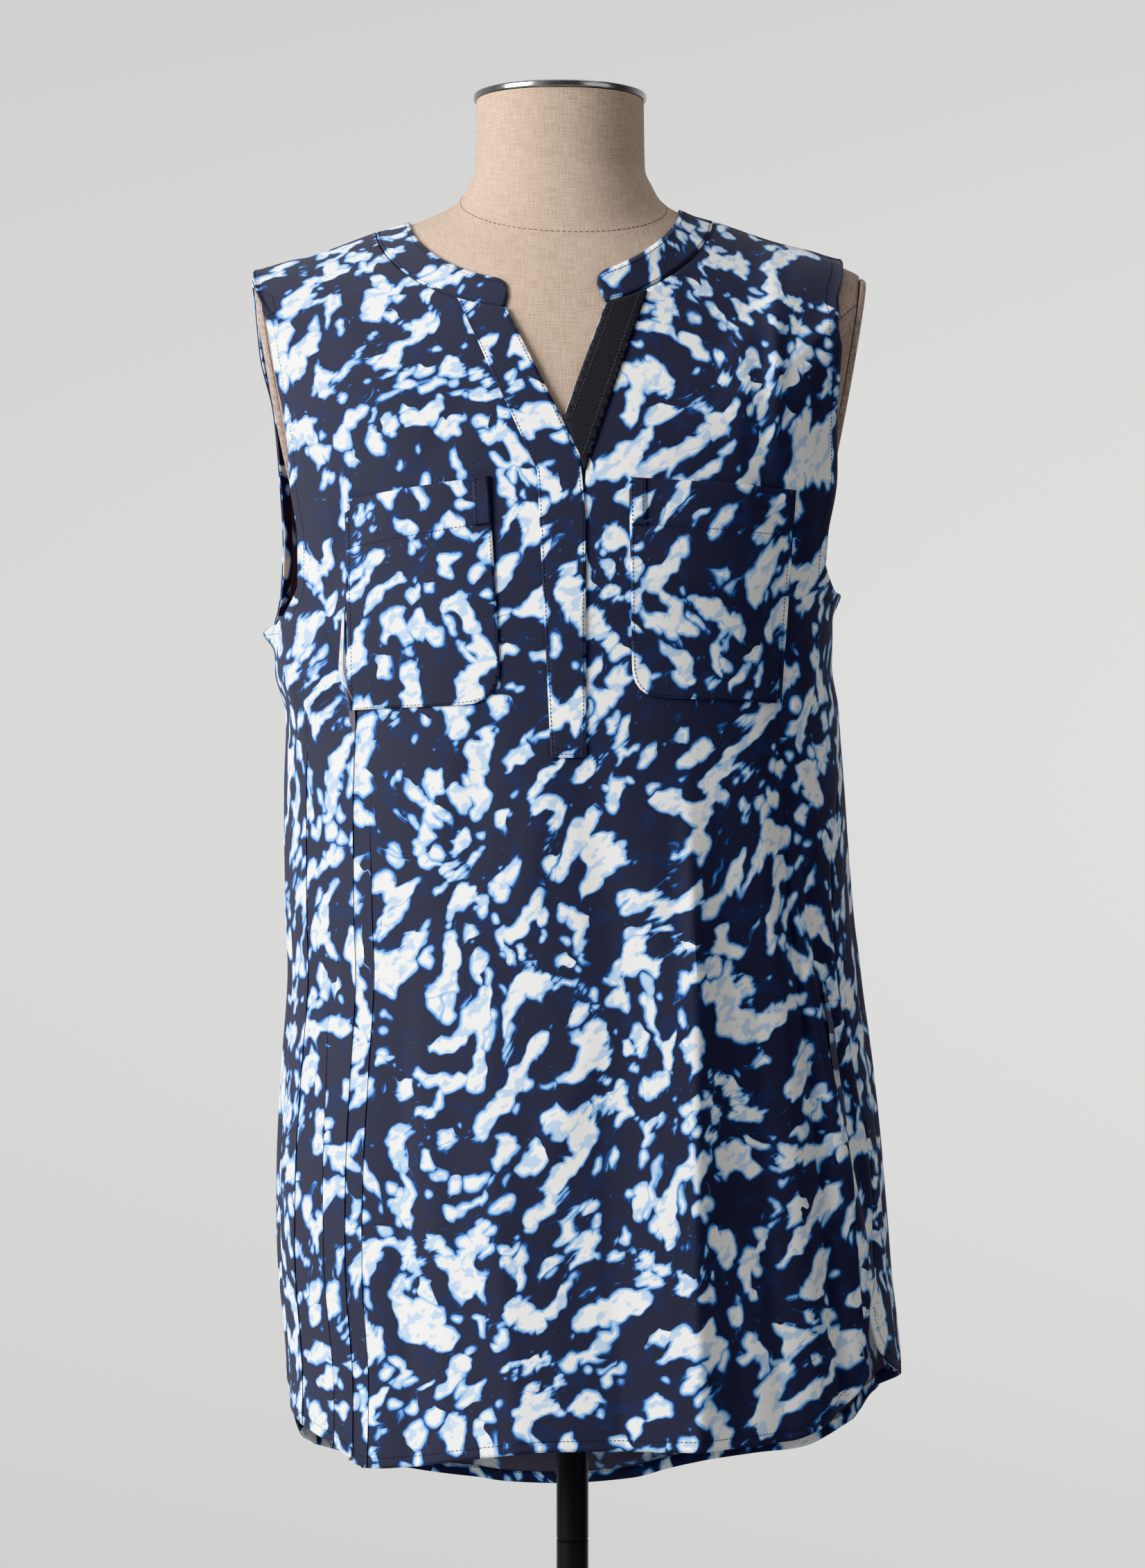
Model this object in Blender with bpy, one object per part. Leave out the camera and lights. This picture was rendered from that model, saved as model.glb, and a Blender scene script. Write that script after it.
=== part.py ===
"""Sleeveless tunic top on a limbless dress form, in metres, +Z up.

The front of the garment faces -Y, and the stand's base rests on Z = 0 under the origin.
"""
import math

import bmesh
import bpy
from mathutils import Matrix, Vector
from mathutils.bvhtree import BVHTree

# ---------------------------------------------------------------- driving dimensions
CLOTH = 0.0012            # wall of the cloth
BAND_WALL = 0.0016        # the collar band is two layers
GAP = 0.0003              # between pieces that touch
REST = 0.0016             # outer face of the cloth above the form where it rests
BAND_REST = 0.0020        # the same for the collar band
SQUARE = 2.2              # superellipse power of the rings: 2 is an ellipse
FAN = 1.2                 # how fast a tilted ring falls from the shoulder to centre front

FRONT_STEPS = 36          # faces across each sheet
BACK_STEPS = 28
BAND_STEPS = 44
FORM_STEPS = 40
ROUND = 36                # sides of the turned pieces

NECKLINE = 1.3490         # levels are heights at centre front
BAND_TOP = 1.3680
HEM_START = 0.8000        # the rows follow the curved hem below this height
HEM_LOW = 0.5700

FORM_X = -0.0080          # the form stands a little off its pole
NECK_Y = -0.0120
NECK_TOP = 1.4953
CAP_TOP = 1.5000
CAP_RADIUS = 0.0558
FORM_BOTTOM = 0.8000

POLE_RADIUS = 0.01035
BASE_RADIUS = 0.1900
BASE_HEIGHT = 0.0080
SOCKET_RADIUS = 0.0240
SOCKET_HEIGHT = 0.0380
FLANGE_RADIUS = 0.0450
FLANGE_HEIGHT = 0.0040

# ---------------------------------------------------------------- tables of sections
# A garment ring: its height at centre front (level), at the two sides and at centre back,
# its half-width, its depth before and behind the side seams, its centre, how far the back
# swings to one side, and the angle from centre front (or back) where an armhole cuts it.
GARMENT_COLUMNS = ("level", "left_z", "right_z", "back_z", "half", "front", "back",
                   "mid", "swing", "cut", "back_cut")
GARMENT = (
    (1.3680, 1.4195, 1.4265, 1.4220, 0.0870, 0.1010, 0.0660, -0.0185, 0.000, 90.0, 90.0),
    (1.3490, 1.4132, 1.4203, 1.4050, 0.1095, 0.1080, 0.0765, -0.0180, 0.000, 90.0, 90.0),
    (1.3200, 1.3990, 1.4065, 1.3770, 0.1500, 0.1185, 0.0915, -0.0168, 0.000, 90.0, 90.0),
    (1.3040, 1.3942, 1.4015, 1.3620, 0.1700, 0.1225, 0.0960, -0.0163, 0.000, 90.0, 90.0),
    (1.2880, 1.3890, 1.3960, 1.3475, 0.1894, 0.1260, 0.1005, -0.0158, 0.000, 90.0, 90.0),
    (1.2800, 1.3930, 1.3975, 1.3395, 0.1930, 0.1275, 0.1020, -0.0148, -0.003, 71.9, 81.0),
    (1.2700, 1.3956, 1.3990, 1.3290, 0.1986, 0.1290, 0.1040, -0.0132, -0.006, 65.5, 74.0),
    (1.2530, 1.3490, 1.3520, 1.3060, 0.1972, 0.1310, 0.1070, -0.0102, -0.010, 62.9, 70.0),
    (1.2340, 1.3085, 1.3095, 1.2760, 0.1914, 0.1325, 0.1090, -0.0070, -0.010, 64.5, 70.0),
    (1.2130, 1.2610, 1.2620, 1.2420, 0.1884, 0.1335, 0.1100, -0.0058, -0.010, 65.8, 70.0),
    (1.1930, 1.2188, 1.2230, 1.2080, 0.1855, 0.1335, 0.1100, -0.0062, -0.010, 63.5, 70.0),
    (1.1780, 1.1796, 1.2022, 1.1880, 0.1847, 0.1335, 0.1100, -0.0070, -0.009, 63.5, 72.0),
    (1.1720, 1.1558, 1.1792, 1.1740, 0.1820, 0.1335, 0.1100, -0.0100, -0.006, 76.8, 80.0),
    (1.1650, 1.1530, 1.1760, 1.1660, 0.1812, 0.1335, 0.1100, -0.0118, 0.000, 90.0, 90.0),
    (1.1540, 1.1430, 1.1555, 1.1540, 0.1805, 0.1332, 0.1100, -0.0122, 0.000, 90.0, 90.0),
    (1.1300, 1.1270, 1.1330, 1.1300, 0.1802, 0.1330, 0.1100, -0.0123, 0.000, 90.0, 90.0),
    (1.1000, 1.1000, 1.1000, 1.1000, 0.1792, 0.1330, 0.1100, -0.0065, 0.000, 90.0, 90.0),
    (1.0540, 1.0540, 1.0540, 1.0540, 0.1814, 0.1330, 0.1105, -0.0054, 0.000, 90.0, 90.0),
    (0.9740, 0.9740, 0.9740, 0.9740, 0.1840, 0.1340, 0.1120, -0.0020, 0.000, 90.0, 90.0),
    (0.9330, 0.9330, 0.9330, 0.9330, 0.1858, 0.1345, 0.1130, 0.0012, 0.000, 90.0, 90.0),
    (0.8730, 0.8730, 0.8730, 0.8730, 0.1918, 0.1355, 0.1145, 0.0032, 0.000, 90.0, 90.0),
    (0.8127, 0.8127, 0.8127, 0.8127, 0.1965, 0.1365, 0.1160, 0.0048, 0.000, 90.0, 90.0),
    (0.7492, 0.7492, 0.7492, 0.7492, 0.1989, 0.1375, 0.1175, 0.0076, 0.000, 90.0, 90.0),
    (0.6727, 0.6727, 0.6727, 0.6727, 0.1996, 0.1390, 0.1200, 0.0142, 0.000, 90.0, 90.0),
    (0.5700, 0.5700, 0.5700, 0.5700, 0.2000, 0.1400, 0.1220, 0.0150, 0.000, 90.0, 90.0),
)

# A ring of the form: height at centre front, sides and centre back, half-width, depth
# before and behind its centre, and how far that centre lies behind the pole's axis.
FORM_COLUMNS = ("level", "side_z", "back_z", "half", "front", "back", "mid_y")
FORM = (
    (1.4953, 1.4953, 1.4953, 0.0540, 0.0540, 0.0540, -0.012),
    (1.4520, 1.4520, 1.4520, 0.0548, 0.0548, 0.0548, -0.012),
    (1.4330, 1.4415, 1.4440, 0.0590, 0.0585, 0.0575, -0.012),
    (1.4060, 1.4300, 1.4340, 0.0668, 0.0670, 0.0640, -0.011),
    (1.3700, 1.4210, 1.4190, 0.0870, 0.0960, 0.0690, -0.004),
    (1.3510, 1.4138, 1.4030, 0.1090, 0.1055, 0.0750, -0.001),
    (1.3185, 1.4003, 1.3760, 0.1480, 0.1165, 0.0900, 0.000),
    (1.2865, 1.3895, 1.3460, 0.1850, 0.1235, 0.0985, 0.000),
    (1.2650, 1.3785, 1.3250, 0.1990, 0.1265, 0.1025, 0.000),
    (1.2450, 1.3470, 1.3000, 0.1960, 0.1290, 0.1050, 0.000),
    (1.2250, 1.3000, 1.2700, 0.1880, 0.1305, 0.1065, 0.000),
    (1.2050, 1.2500, 1.2350, 0.1730, 0.1300, 0.1060, 0.000),
    (1.1800, 1.1900, 1.1850, 0.1580, 0.1270, 0.1030, 0.000),
    (1.1200, 1.1200, 1.1200, 0.1490, 0.1150, 0.0960, 0.000),
    (1.0500, 1.0500, 1.0500, 0.1360, 0.0980, 0.0860, 0.000),
    (0.9800, 0.9800, 0.9800, 0.1430, 0.1010, 0.0920, 0.000),
    (0.8900, 0.8900, 0.8900, 0.1640, 0.1120, 0.1030, 0.000),
    (0.8120, 0.8120, 0.8120, 0.1690, 0.1150, 0.1060, 0.000),
    (0.8000, 0.8000, 0.8000, 0.1600, 0.1060, 0.0970, 0.000),
)

# Arm plates: the form's ends at the shoulders, cut by a plane that leans inwards.
PLATE_TOP = 1.3764
PLATE_TOP_X = 0.1930      # distance of the plane from the form's centre at PLATE_TOP
PLATE_LEAN = 0.18         # how far the plane comes in for each metre down
ARM_CUT_LOW = 1.1800
PLATE_HEIGHT = 0.1420
PLATE_DEPTH = 0.0860
PLATE_WALL = 0.0040
PLATE_Z = 1.3120
PLATE_Y = -0.0050

# Hem height across a panel: the front runs from the left side seam (0) to the right one (1),
# the back from the right seam (0) round to the left one (1).
FRONT_HEM = ((0.000, 0.6760), (0.041, 0.6700), (0.100, 0.6590), (0.149, 0.6520), (0.205, 0.6470),
             (0.270, 0.6405), (0.302, 0.6335), (0.330, 0.6300), (0.400, 0.6330), (0.474, 0.6395),
             (0.575, 0.6460), (0.738, 0.6465), (0.841, 0.6485), (0.898, 0.6560), (0.940, 0.6650),
             (0.965, 0.6760), (0.985, 0.6950), (1.000, 0.7190))
BACK_HEM = ((0.000, 0.7190), (0.015, 0.7000), (0.054, 0.6846), (0.146, 0.6727), (0.266, 0.6502),
            (0.303, 0.6340), (0.345, 0.6180), (0.372, 0.6100), (0.440, 0.6015), (0.525, 0.5890),
            (0.560, 0.5820), (0.614, 0.5790), (0.658, 0.5797), (0.698, 0.5840), (0.759, 0.5920),
            (0.817, 0.6020), (0.875, 0.6116), (0.954, 0.6250), (0.982, 0.6450), (1.000, 0.6760))

# The side seams drift round the body on their way down: height, left angle, right angle.
SEAM_COLUMNS = ("z", "left", "right")
SEAMS = ((1.1000, -90.0, 90.0), (1.0500, -90.5, 73.0), (1.0000, -91.0, 64.5),
         (0.9300, -92.0, 62.0), (0.8700, -92.5, 65.0), (0.8000, -93.0, 69.0),
         (0.7500, -93.5, 67.5), (0.7200, -94.0, 61.5), (0.5700, -95.0, 58.0))

# Folds that run down the cloth: angle of the ridge at the top and at the hem, heights where
# each starts and where it is full, degrees that it falls away over on its left and its
# right, and depth (out of the body is positive). LEAST_FOLD is the narrowest side that the
# wall's faces can follow.
LEAST_FOLD = 5.0
FOLD_CURVE = 1.5          # power of a fold's flanks: 1 is straight, more is hollow
FOLD_COLUMNS = ("top_angle", "low_angle", "top_z", "full_z", "left", "right", "depth")
FOLDS = (
    (-44.0, -49.0, 1.245, 1.080, 9.0, 0.8, 0.0022),
    (-39.5, -45.0, 1.080, 0.950, 4.5, 0.8, 0.0014),
    (-62.0, -69.0, 1.140, 1.000, 8.0, 0.8, 0.0022),
    (-54.5, -54.5, 0.950, 0.850, 5.0, 0.8, 0.0014),
    (-79.0, -83.0, 1.120, 0.900, 7.0, 6.0, -0.0045),
    (-31.0, -34.0, 1.050, 0.780, 9.0, 9.0, -0.0035),
    (-14.0, -12.0, 0.980, 0.760, 9.0, 7.0, 0.0025),
    (4.0, 3.0, 1.020, 0.780, 9.0, 9.0, -0.0025),
    (23.5, 14.5, 1.090, 0.930, 13.0, 9.0, 0.0060),
    (35.0, 33.0, 1.010, 0.820, 7.0, 7.0, -0.0030),
    (47.5, 51.0, 1.130, 0.980, 8.0, 5.0, -0.0070),
    (57.0, 57.0, 0.970, 0.860, 5.0, 0.8, 0.0022),
    (80.0, 84.0, 1.090, 0.840, 8.0, 8.0, -0.0045),
    (104.0, 106.0, 1.120, 0.880, 10.0, 10.0, -0.0055),
    (120.0, 124.0, 1.200, 0.900, 10.0, 10.0, 0.0060),
    (137.0, 140.0, 1.180, 0.860, 10.0, 10.0, -0.0060),
    (158.0, 160.0, 1.120, 0.820, 13.0, 13.0, 0.0055),
    (-176.0, -176.0, 1.060, 0.800, 13.0, 13.0, -0.0050),
    (-158.0, -160.0, 1.140, 0.840, 11.0, 11.0, 0.0055),
    (-140.0, -142.0, 1.180, 0.880, 10.0, 10.0, -0.0060),
    (-122.0, -126.0, 1.200, 0.900, 10.0, 10.0, 0.0060),
    (-105.0, -108.0, 1.120, 0.860, 10.0, 10.0, -0.0050),
)

# The cloth stands out in a small point below each armhole: angle, height and depth.
TIPS = ((-90.0, 1.1530, 0.0077), (90.0, 1.1760, 0.0047))
TIP_ANGLE = 8.0           # spread of a point round the body, degrees
TIP_HEIGHT = 0.0080       # and up and down it

# Edges on the front, as (x, z) points seen from before the garment.
PLACKET_SEAM = ((-0.0720, 1.3585), (-0.0217, 1.2472), (-0.0132, 1.0710))
PLACKET_FOLD = ((-0.0445, 1.3570), (0.0047, 1.2570), (0.0085, 1.2050), (0.0085, 1.0710))
SLIT_LEFT = ((-0.0690, 1.3700), (-0.0157, 1.2472), (-0.0072, 1.0780))
SLIT_RIGHT = ((0.0472, 1.3660), (0.0092, 1.2570), (0.0070, 1.2350), (0.0070, 1.0780))
OPENING_RIGHT = ((0.0237, 1.3620), (-0.0055, 1.2808), (-0.0062, 1.2500), (-0.0062, 1.0790))
TAPE_RIGHT = ((0.0487, 1.3660), (0.0107, 1.2570), (0.0089, 1.2460))
POCKET_LEFT = ((-0.1415, 1.2320), (-0.0512, 1.2442), (-0.0440, 1.1500), (-0.0450, 1.1260),
               (-0.0520, 1.1120), (-0.0640, 1.1055), (-0.1384, 1.1010))
POCKET_RIGHT = ((0.0346, 1.2434), (0.1389, 1.2385), (0.1300, 1.1053), (0.0590, 1.1070),
                (0.0450, 1.1130), (0.0385, 1.1260), (0.0372, 1.1500))

COLLAR_LEFT_X = -0.0425   # ends of the collar band at the V opening
COLLAR_RIGHT_X = 0.0205
BAND_CORNER = 0.0120      # length of the curve that rounds each end
BAND_END_LEFT = 0.45      # share of the band's height that is left at its very ends
BAND_END_RIGHT = 0.66
BAND_SEAM = 0.03          # share by which the band stands off the neckline
NECK_SPREAD = 0.1050      # mean radius of the neckline

# Materials: colour, roughness, metallic.
FINISHES = {
    "print": ((0.050, 0.065, 0.150), 0.62, 0.0),
    "print_light": ((0.160, 0.230, 0.420), 0.62, 0.0),
    "tape": ((0.012, 0.012, 0.014), 0.70, 0.0),
    "linen": ((0.520, 0.440, 0.350), 0.85, 0.0),
    "arm_cover": ((0.280, 0.190, 0.140), 0.70, 0.0),
    "cap_metal": ((0.600, 0.580, 0.550), 0.30, 1.0),
    "black_steel": ((0.015, 0.015, 0.016), 0.40, 1.0),
}

for old in list(bpy.data.objects):
    bpy.data.objects.remove(old, do_unlink=True)

PARTS = bpy.data.collections.new("tunic_top")
bpy.context.scene.collection.children.link(PARTS)


# ---------------------------------------------------------------- smooth tables
class Track:
    """A smooth curve through (position, value) pairs that never overshoots them."""

    def __init__(self, pairs):
        pairs = sorted(pairs)
        self.at = [pair[0] for pair in pairs]
        self.value = [pair[1] for pair in pairs]
        rises = [(self.value[i + 1] - self.value[i]) / (self.at[i + 1] - self.at[i])
                 for i in range(len(pairs) - 1)]
        self.slope = [rises[0]]
        for before, after in zip(rises, rises[1:]):
            flat = before * after <= 0.0
            self.slope.append(0.0 if flat else 2.0 * before * after / (before + after))
        self.slope.append(rises[-1])

    def __call__(self, position):
        if position <= self.at[0]:
            return self.value[0]
        if position >= self.at[-1]:
            return self.value[-1]
        i = max(k for k, start in enumerate(self.at) if start <= position)
        span = self.at[i + 1] - self.at[i]
        t = (position - self.at[i]) / span
        rise = self.value[i + 1] - self.value[i]
        start_pull = self.slope[i] * span - rise
        end_pull = self.slope[i + 1] * span - rise
        bulge = t * (1.0 - t) * ((1.0 - t) * start_pull - t * end_pull)
        return self.value[i] + t * rise + bulge


def tracks(names, rows):
    """One track for each column of a table, along its first column."""
    return {name: Track([(row[0], row[k]) for row in rows])
            for k, name in enumerate(names) if k}


GARMENT_TRACKS = tracks(GARMENT_COLUMNS, GARMENT)
FORM_TRACKS = tracks(FORM_COLUMNS, FORM)
SEAM_TRACKS = tracks(SEAM_COLUMNS, SEAMS)
FRONT_HEM_TRACK = Track(FRONT_HEM)
BACK_HEM_TRACK = Track(BACK_HEM)


def smooth_step(t):
    t = min(1.0, max(0.0, t))
    return t * t * (3.0 - 2.0 * t)


def powered(value, power):
    return math.copysign(abs(value) ** power, value)


# ---------------------------------------------------------------- the rings
def ring_point(level, angle, centre, half, front, back, side_z, back_z):
    """Point of a tilted superellipse ring. The angle runs from centre front towards +X."""
    across = math.sin(math.radians(angle))
    along = math.cos(math.radians(angle))
    depth = front if along > 0.0 else back
    end_z = level if along > 0.0 else back_z
    x = centre[0] + half * powered(across, 2.0 / SQUARE)
    y = centre[1] - depth * powered(along, 2.0 / SQUARE)
    z = side_z + (end_z - side_z) * abs(along) ** FAN
    return Vector((x, y, z))


def fold_depth(angle, z):
    """How far the folds and the points below the armholes push the cloth out at this place."""
    total = 0.0
    for tip_angle, tip_z, depth in TIPS:
        off = ((angle - tip_angle + 180.0) % 360.0 - 180.0) / TIP_ANGLE
        total += depth * math.exp(-off * off - ((z - tip_z) / TIP_HEIGHT) ** 2)
    for row in FOLDS:
        fold = dict(zip(FOLD_COLUMNS, row))
        fall = (fold["top_z"] - z) / (fold["top_z"] - HEM_LOW)
        if fall <= 0.0:
            continue
        middle = fold["top_angle"] + (fold["low_angle"] - fold["top_angle"]) * fall
        off = (angle - middle + 180.0) % 360.0 - 180.0
        width = max(LEAST_FOLD, fold["left"] if off < 0.0 else fold["right"])
        grown = smooth_step((fold["top_z"] - z) / (fold["top_z"] - fold["full_z"]))
        total += fold["depth"] * grown * max(0.0, 1.0 - abs(off) / width) ** FOLD_CURVE
    return total


def garment_point(level, angle):
    """Outer face of the cloth before it is set on the form."""
    column = {name: track(level) for name, track in GARMENT_TRACKS.items()}
    right = (angle + 360.0) % 360.0 < 180.0
    behind = abs((angle + 180.0) % 360.0 - 180.0) > 90.0
    side_z = column["right_z"] if right else column["left_z"]
    mid = column["mid"] + (column["swing"] if behind else 0.0)
    point = ring_point(level, angle, (mid, 0.0), column["half"], column["front"],
                       column["back"], side_z, column["back_z"])
    across = math.sin(math.radians(angle)) / column["half"]
    along = math.cos(math.radians(angle)) / column["front"]
    outward = Vector((across, -along, 0.0)).normalized()
    return point + outward * fold_depth(angle, point.z)


def form_point(level, angle):
    """Surface of the form, with its shoulder ends cut off by the two arm planes."""
    column = {name: track(level) for name, track in FORM_TRACKS.items()}
    point = ring_point(level, angle, (0.0, column["mid_y"]), column["half"],
                       column["front"], column["back"], column["side_z"], column["back_z"])
    reach = PLATE_TOP_X - PLATE_LEAN * (PLATE_TOP - point.z)
    point.x = max(-reach, min(reach, point.x)) if point.z > ARM_CUT_LOW else point.x
    point.x += FORM_X
    return point


# ---------------------------------------------------------------- mesh helpers
def finish_of(name):
    material = bpy.data.materials.get(name) or bpy.data.materials.new(name)
    material.use_nodes = True
    shader = material.node_tree.nodes["Principled BSDF"]
    colour, roughness, metallic = FINISHES[name]
    shader.inputs["Base Color"].default_value = (*colour, 1.0)
    shader.inputs["Roughness"].default_value = roughness
    shader.inputs["Metallic"].default_value = metallic
    return material


def add_part(bm, name, finish, location=(0.0, 0.0, 0.0)):
    """Store a closed bmesh as a named object with its own finish."""
    bm.normal_update()
    bmesh.ops.recalc_face_normals(bm, faces=bm.faces[:])
    mesh = bpy.data.meshes.new(name)
    bm.to_mesh(mesh)
    bm.free()
    part = bpy.data.objects.new(name, mesh)
    part.location = location
    PARTS.objects.link(part)
    mesh.materials.append(finish_of(finish))
    mesh.shade_smooth()
    mesh.set_sharp_from_angle(angle=math.radians(40.0))
    return part


def sheet_grid(columns, rows, place):
    """A grid whose points are moved to place(across, down), both from 0 to 1."""
    bm = bmesh.new()
    bmesh.ops.create_grid(bm, x_segments=columns, y_segments=rows, size=1.0)
    for vert in bm.verts:
        vert.co = place(0.5 * (vert.co.x + 1.0), 0.5 * (1.0 - vert.co.y))
    bmesh.ops.triangulate(bm, faces=bm.faces[:])
    return bm


def face_out(bm, centre):
    """Turn every face of an open sheet away from a vertical axis."""
    bm.normal_update()
    bmesh.ops.recalc_face_normals(bm, faces=bm.faces[:])
    out = 0.0
    for face in bm.faces:
        away = face.calc_center_median() - centre
        away.z = 0.0
        out += face.normal.dot(away) * face.calc_area()
    if out < 0.0:
        bmesh.ops.reverse_faces(bm, faces=bm.faces[:])
    bm.normal_update()


def move_out(bm, distance):
    bm.normal_update()
    steps = {vert: vert.normal * distance for vert in bm.verts}
    for vert, step in steps.items():
        vert.co += step


def seam_normal(spot):
    """Outward normal where a side seam passes, the same for both panels, or None."""
    if spot.z > SEAMS[0][0]:
        return None
    angle = SEAM_TRACKS["right" if spot.x > 0.0 else "left"](spot.z)
    if (garment_point(spot.z, angle) - spot).length > 0.001:
        return None
    across = garment_point(spot.z, angle + 1.0) - garment_point(spot.z, angle - 1.0)
    up = garment_point(spot.z + 0.004, angle) - garment_point(spot.z - 0.004, angle)
    return across.cross(up).normalized()


def give_wall(bm, thickness):
    """Close a sheet into a wall; a positive thickness grows out, a negative one in."""
    bm.normal_update()
    sheet = bm.verts[:]
    rims = [edge for edge in bm.edges if edge.is_boundary]
    steps = {vert: (seam_normal(vert.co) or vert.normal) * thickness for vert in sheet}
    made = bmesh.ops.duplicate(bm, geom=sheet + bm.edges[:] + bm.faces[:])
    twin = {vert: made["vert_map"][vert] for vert in sheet}
    for vert, step in steps.items():
        twin[vert].co += step
    bmesh.ops.reverse_faces(bm, faces=[item for item in made["geom"]
                                       if isinstance(item, bmesh.types.BMFace)])
    for edge in rims:
        first, second = edge.verts
        bm.faces.new((first, second, twin[second], twin[first]))


def inside(x, z, outline):
    """True where (x, z) lies inside the closed outline."""
    hit = False
    for (x0, z0), (x1, z1) in zip(outline, outline[1:] + outline[:1]):
        if (z0 > z) != (z1 > z) and x < x0 + (x1 - x0) * (z - z0) / (z1 - z0):
            hit = not hit
    return hit


def cut_sheet(bm, outline, keep):
    """Cut an open sheet along a closed (x, z) outline and keep its 'inside' or 'outside'."""
    outline = list(outline)
    margin = 0.004
    for (x0, z0), (x1, z1) in zip(outline, outline[1:] + outline[:1]):
        along = Vector((x1 - x0, 0.0, z1 - z0)).normalized()
        side = Vector((along.z, 0.0, -along.x))
        near = []
        for face in bm.faces:
            xs = [vert.co.x for vert in face.verts]
            zs = [vert.co.z for vert in face.verts]
            beside = max(xs) < min(x0, x1) - margin or min(xs) > max(x0, x1) + margin
            above = max(zs) < min(z0, z1) - margin or min(zs) > max(z0, z1) + margin
            if not beside and not above:
                near.append(face)
        edges = {edge for face in near for edge in face.edges}
        verts = {vert for face in near for vert in face.verts}
        bmesh.ops.bisect_plane(bm, geom=near + list(edges) + list(verts), dist=0.00005,
                               plane_co=(x0, 0.0, z0), plane_no=side)
    lost = []
    for face in bm.faces:
        middle = face.calc_center_median()
        if inside(middle.x, middle.z, outline) != (keep == "inside"):
            lost.append(face)
    bmesh.ops.delete(bm, geom=lost, context="FACES")
    bmesh.ops.remove_doubles(bm, verts=bm.verts[:], dist=0.00004)
    bmesh.ops.triangulate(bm, faces=bm.faces[:])


def keep_before(bm, limit):
    """Hold the wall of a front panel off the plane of the shoulder and side seams."""
    for vert in bm.verts:
        if vert.co.z > SEAMS[0][0] and vert.co.y > limit:
            vert.co.y = limit


def keep_behind(bm, limit):
    for vert in bm.verts:
        if vert.co.z > SEAMS[0][0] and vert.co.y < limit:
            vert.co.y = limit


# ---------------------------------------------------------------- the dress form
# Rows of the form, closer together where it turns over the shoulders.
FORM_LEVELS = (1.4953, 1.4520, 1.4420, 1.4330, 1.4200, 1.4060, 1.3880, 1.3700, 1.3510, 1.3350,
               1.3185, 1.3020, 1.2865, 1.2750, 1.2650, 1.2450, 1.2250, 1.2050, 1.1800, 1.1200,
               1.0500, 0.9800, 0.8900, 0.8120, 0.8000)


def row_level(levels, down):
    """Level of a row, where down is its share of the way through the levels."""
    return levels[round(down * (len(levels) - 1))]


def form_surface():
    bm = sheet_grid(FORM_STEPS, len(FORM_LEVELS) - 1, lambda across, down: form_point(
        row_level(FORM_LEVELS, down), 360.0 * across - 180.0))
    bmesh.ops.remove_doubles(bm, verts=bm.verts[:], dist=0.0001)
    return bm


def close_ends(bm):
    bmesh.ops.holes_fill(bm, edges=[edge for edge in bm.edges if edge.is_boundary], sides=0)


FORM_TREES = []           # what the cloth may not enter
FORM_SPOTS = []           # points and normals spread over the same surfaces


def guard(bm):
    """Note a solid that the cloth rests on."""
    bm.normal_update()
    bmesh.ops.recalc_face_normals(bm, faces=bm.faces[:])
    FORM_TREES.append(BVHTree.FromBMesh(bm))
    FORM_SPOTS.extend((vert.co.copy(), vert.normal.copy()) for vert in bm.verts)
    for edge in bm.edges:
        first, second = edge.verts
        normal = (first.normal + second.normal).normalized()
        FORM_SPOTS.append((0.5 * (first.co + second.co), normal))


form = form_surface()
close_ends(form)
guard(form)
add_part(form, "form_torso", "linen")


def add_arm_plate(name, side):
    """An oval disc with a soft edge, on the plane that ends the form at a shoulder."""
    bm = bmesh.new()
    bmesh.ops.create_cone(bm, cap_ends=True, segments=32, radius1=0.5, radius2=0.5, depth=1.0)
    for vert in bm.verts:
        x, y, z = vert.co
        vert.co = Vector((z * PLATE_WALL, y * PLATE_DEPTH, -x * PLATE_HEIGHT))
    bm.normal_update()
    rims = [edge for edge in bm.edges if len({vert.co.x > 0.0 for vert in edge.verts}) == 1]
    bmesh.ops.bevel(bm, geom=rims, offset=0.0012, segments=1, profile=0.5, affect="EDGES",
                    material=-1)
    lean = side * math.atan(PLATE_LEAN)
    reach = PLATE_TOP_X - PLATE_LEAN * (PLATE_TOP - PLATE_Z)
    out = reach + (0.5 * PLATE_WALL + GAP) / math.cos(lean)
    place = Vector((FORM_X + side * out, PLATE_Y, PLATE_Z))
    copy = bm.copy()
    copy.transform(Matrix.Translation(place) @ Matrix.Rotation(lean, 4, "Y"))
    guard(copy)
    copy.free()
    part = add_part(bm, name, "arm_cover", place)
    part.rotation_euler = (0.0, lean, 0.0)


add_arm_plate("arm_plate_left", -1.0)
add_arm_plate("arm_plate_right", 1.0)


def set_on_form(point, height):
    """Lift a point of the cloth that would lie in the form, or too near to it."""
    for tree in FORM_TREES:
        near, normal, _, _ = tree.find_nearest(point)
        if (point - near).dot(normal) < height:
            point = near + normal * height
    return point


def clear_form(bm, height):
    """Lift faces of a sheet that would cut across a corner of the form."""
    sideways = 0.003
    for _ in range(6):
        bm.faces.ensure_lookup_table()
        tree = BVHTree.FromBMesh(bm)
        lifts = {}
        for spot, normal in FORM_SPOTS:
            hit, _, index, _ = tree.find_nearest(spot, 0.02)
            if hit is None:
                continue
            rise = (hit - spot).dot(normal)
            if rise >= height or (hit - spot - normal * rise).length > sideways:
                continue
            for vert in bm.faces[index].verts:
                if height - rise > lifts.get(vert, (0.0, normal))[0]:
                    lifts[vert] = (height - rise, normal)
        for vert, (lift, normal) in lifts.items():
            vert.co += normal * lift


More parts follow.
